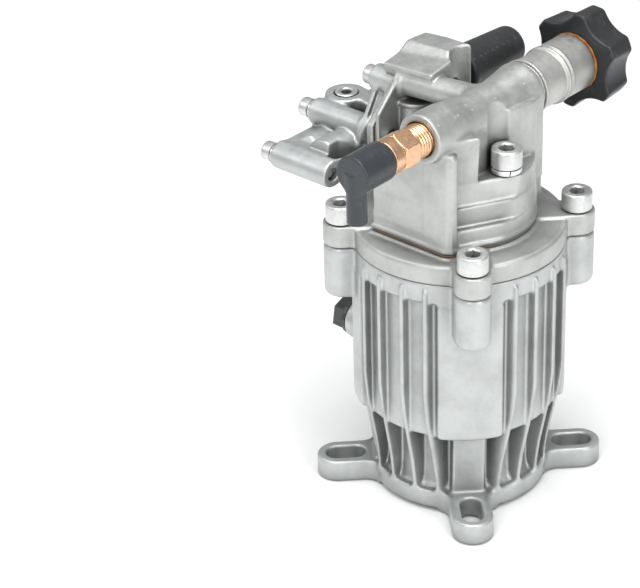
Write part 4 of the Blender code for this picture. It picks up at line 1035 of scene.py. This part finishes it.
def make_fittings(looks):
    jobs = (("inlet_neck_tube", "inlet_neck", 0.35, neck_field, "neck", "housing"),
            ("hose_nut_lobed", "inlet_hose_nut", 0.35, nut_field, "nut", "hose_nut"),
            ("relief_valve_brass", "thermal_valve_body", 0.2, relief_field, "brass", "housing"),
            ("relief_valve_cap", "thermal_valve_cap", 0.3, relief_cap_field, "cap", "housing"),
            ("outlet_union", "outlet_connector", 0.3, outlet_field, "brass", "housing"),
            ("regulator_grip", "regulator_knob", 0.3, knob_field, "knob", "regulator_handle"),
            ("regulator_thread", "regulator_stem", 0.25, stem_field, "zinc", "regulator_spindle"),
            ("hollow_shaft", "drive_shaft", 0.4, shaft_field, "steel", "shaft"))
    for name, node, step, field, look, body in jobs:
        place(solid(name, low(node), high(node), step, field, 0), node, looks[look], body)


def dress_cad_nodes(looks):
    """The pieces whose CAD shape stays get their finish by their material slot in the record."""
    finishes = {"ground_steel": "steel", "spring_steel": "spring", "zinc_steel": "zinc",
                "brass": "brass", "black_plastic": "oil_plug", "black_rubber": "rubber",
                "gasket_paper": "paper", "ring_amber": "amber", "filter_mesh": "wire",
                "cast_aluminium": "cast"}
    for part in frame["record"]["subparts"]:
        item = frame["nodes"][part["node"]]
        for slot in item.material_slots:
            slot.material = looks[finishes[part["material_slot"]]]


# ---------------------------------------------------------------- stage and camera

CAMERA_SPOT = (568.48, -713.01, 611.96)
CAMERA_AZIMUTH, CAMERA_ELEVATION, CAMERA_ROLL = 42.284, 29.896, -1.744
CAMERA_LENS = 138.76
LIGHT_AIM = (0.0, 0.0, 0.1)
FLOOR_HALF = 4.0


def make_camera():
    """The photograph's view: its spot in millimetres, its angles in degrees."""
    data = bpy.data.cameras.new("camera")
    data.lens = CAMERA_LENS
    data.sensor_width = 36.0
    data.clip_end = 10.0
    item = linked("camera", data)
    lift = Matrix.Rotation(math.radians(90.0 - CAMERA_ELEVATION), 4, "X")
    x, y, z = (value * 0.001 for value in CAMERA_SPOT)
    spot = Matrix.Translation((x + AXIS_X, y + AXIS_Y, z))
    item.matrix_world = spot @ spun(CAMERA_AZIMUTH) @ lift @ spun(CAMERA_ROLL)
    bpy.context.scene.camera = item


def area_light(name, spot, size, power):
    """A soft light that faces the middle of the pump."""
    data = bpy.data.lights.new(name, "AREA")
    data.shape = "RECTANGLE"
    data.size, data.size_y = size
    data.energy = power
    item = linked(name, data)
    item.location = spot
    item.rotation_euler = (Vector(LIGHT_AIM) - Vector(spot)).to_track_quat("-Z", "Y").to_euler()


def make_stage():
    """A pale floor just below the pump, a faint sky and four soft lights."""
    mesh = bpy.data.meshes.new("floor")
    corners = [(x * FLOOR_HALF, y * FLOOR_HALF, 0.0) for x, y in ((-1, -1), (1, -1), (1, 1), (-1, 1))]
    mesh.from_pydata(corners, [], [(0, 1, 2, 3)])
    floor = linked("floor", mesh)
    floor.location.z = cad_bounds[0][2] - 0.0002
    pale = Shader("floor_pale")
    mesh.materials.append(pale.finish((0.92, 0.92, 0.92), 0.7, 0.0))
    world = bpy.data.worlds.new("studio")
    bpy.context.scene.world = world
    world.use_nodes = True
    sky = world.node_tree.nodes["Background"]
    sky.inputs["Color"].default_value = (0.97, 0.98, 1.0, 1.0)
    sky.inputs["Strength"].default_value = 0.40
    area_light("top", (0.1, -0.1, 1.5), (1.2, 1.2), 20.0)
    area_light("front", (0.4, -1.3, 0.9), (0.6, 0.6), 7.0)
    area_light("left", (-1.0, -0.8, 1.0), (0.7, 0.7), 4.0)
    area_light("right", (1.3, -0.3, 0.7), (0.5, 1.1), 8.0)
    bpy.context.scene.view_settings.view_transform = "Standard"


def main():
    looks = make_looks()
    make_camera()
    make_castings(looks)
    make_fittings(looks)
    make_screws(looks)
    make_plugs(looks)
    dress_cad_nodes(looks)
    make_stage()


main()
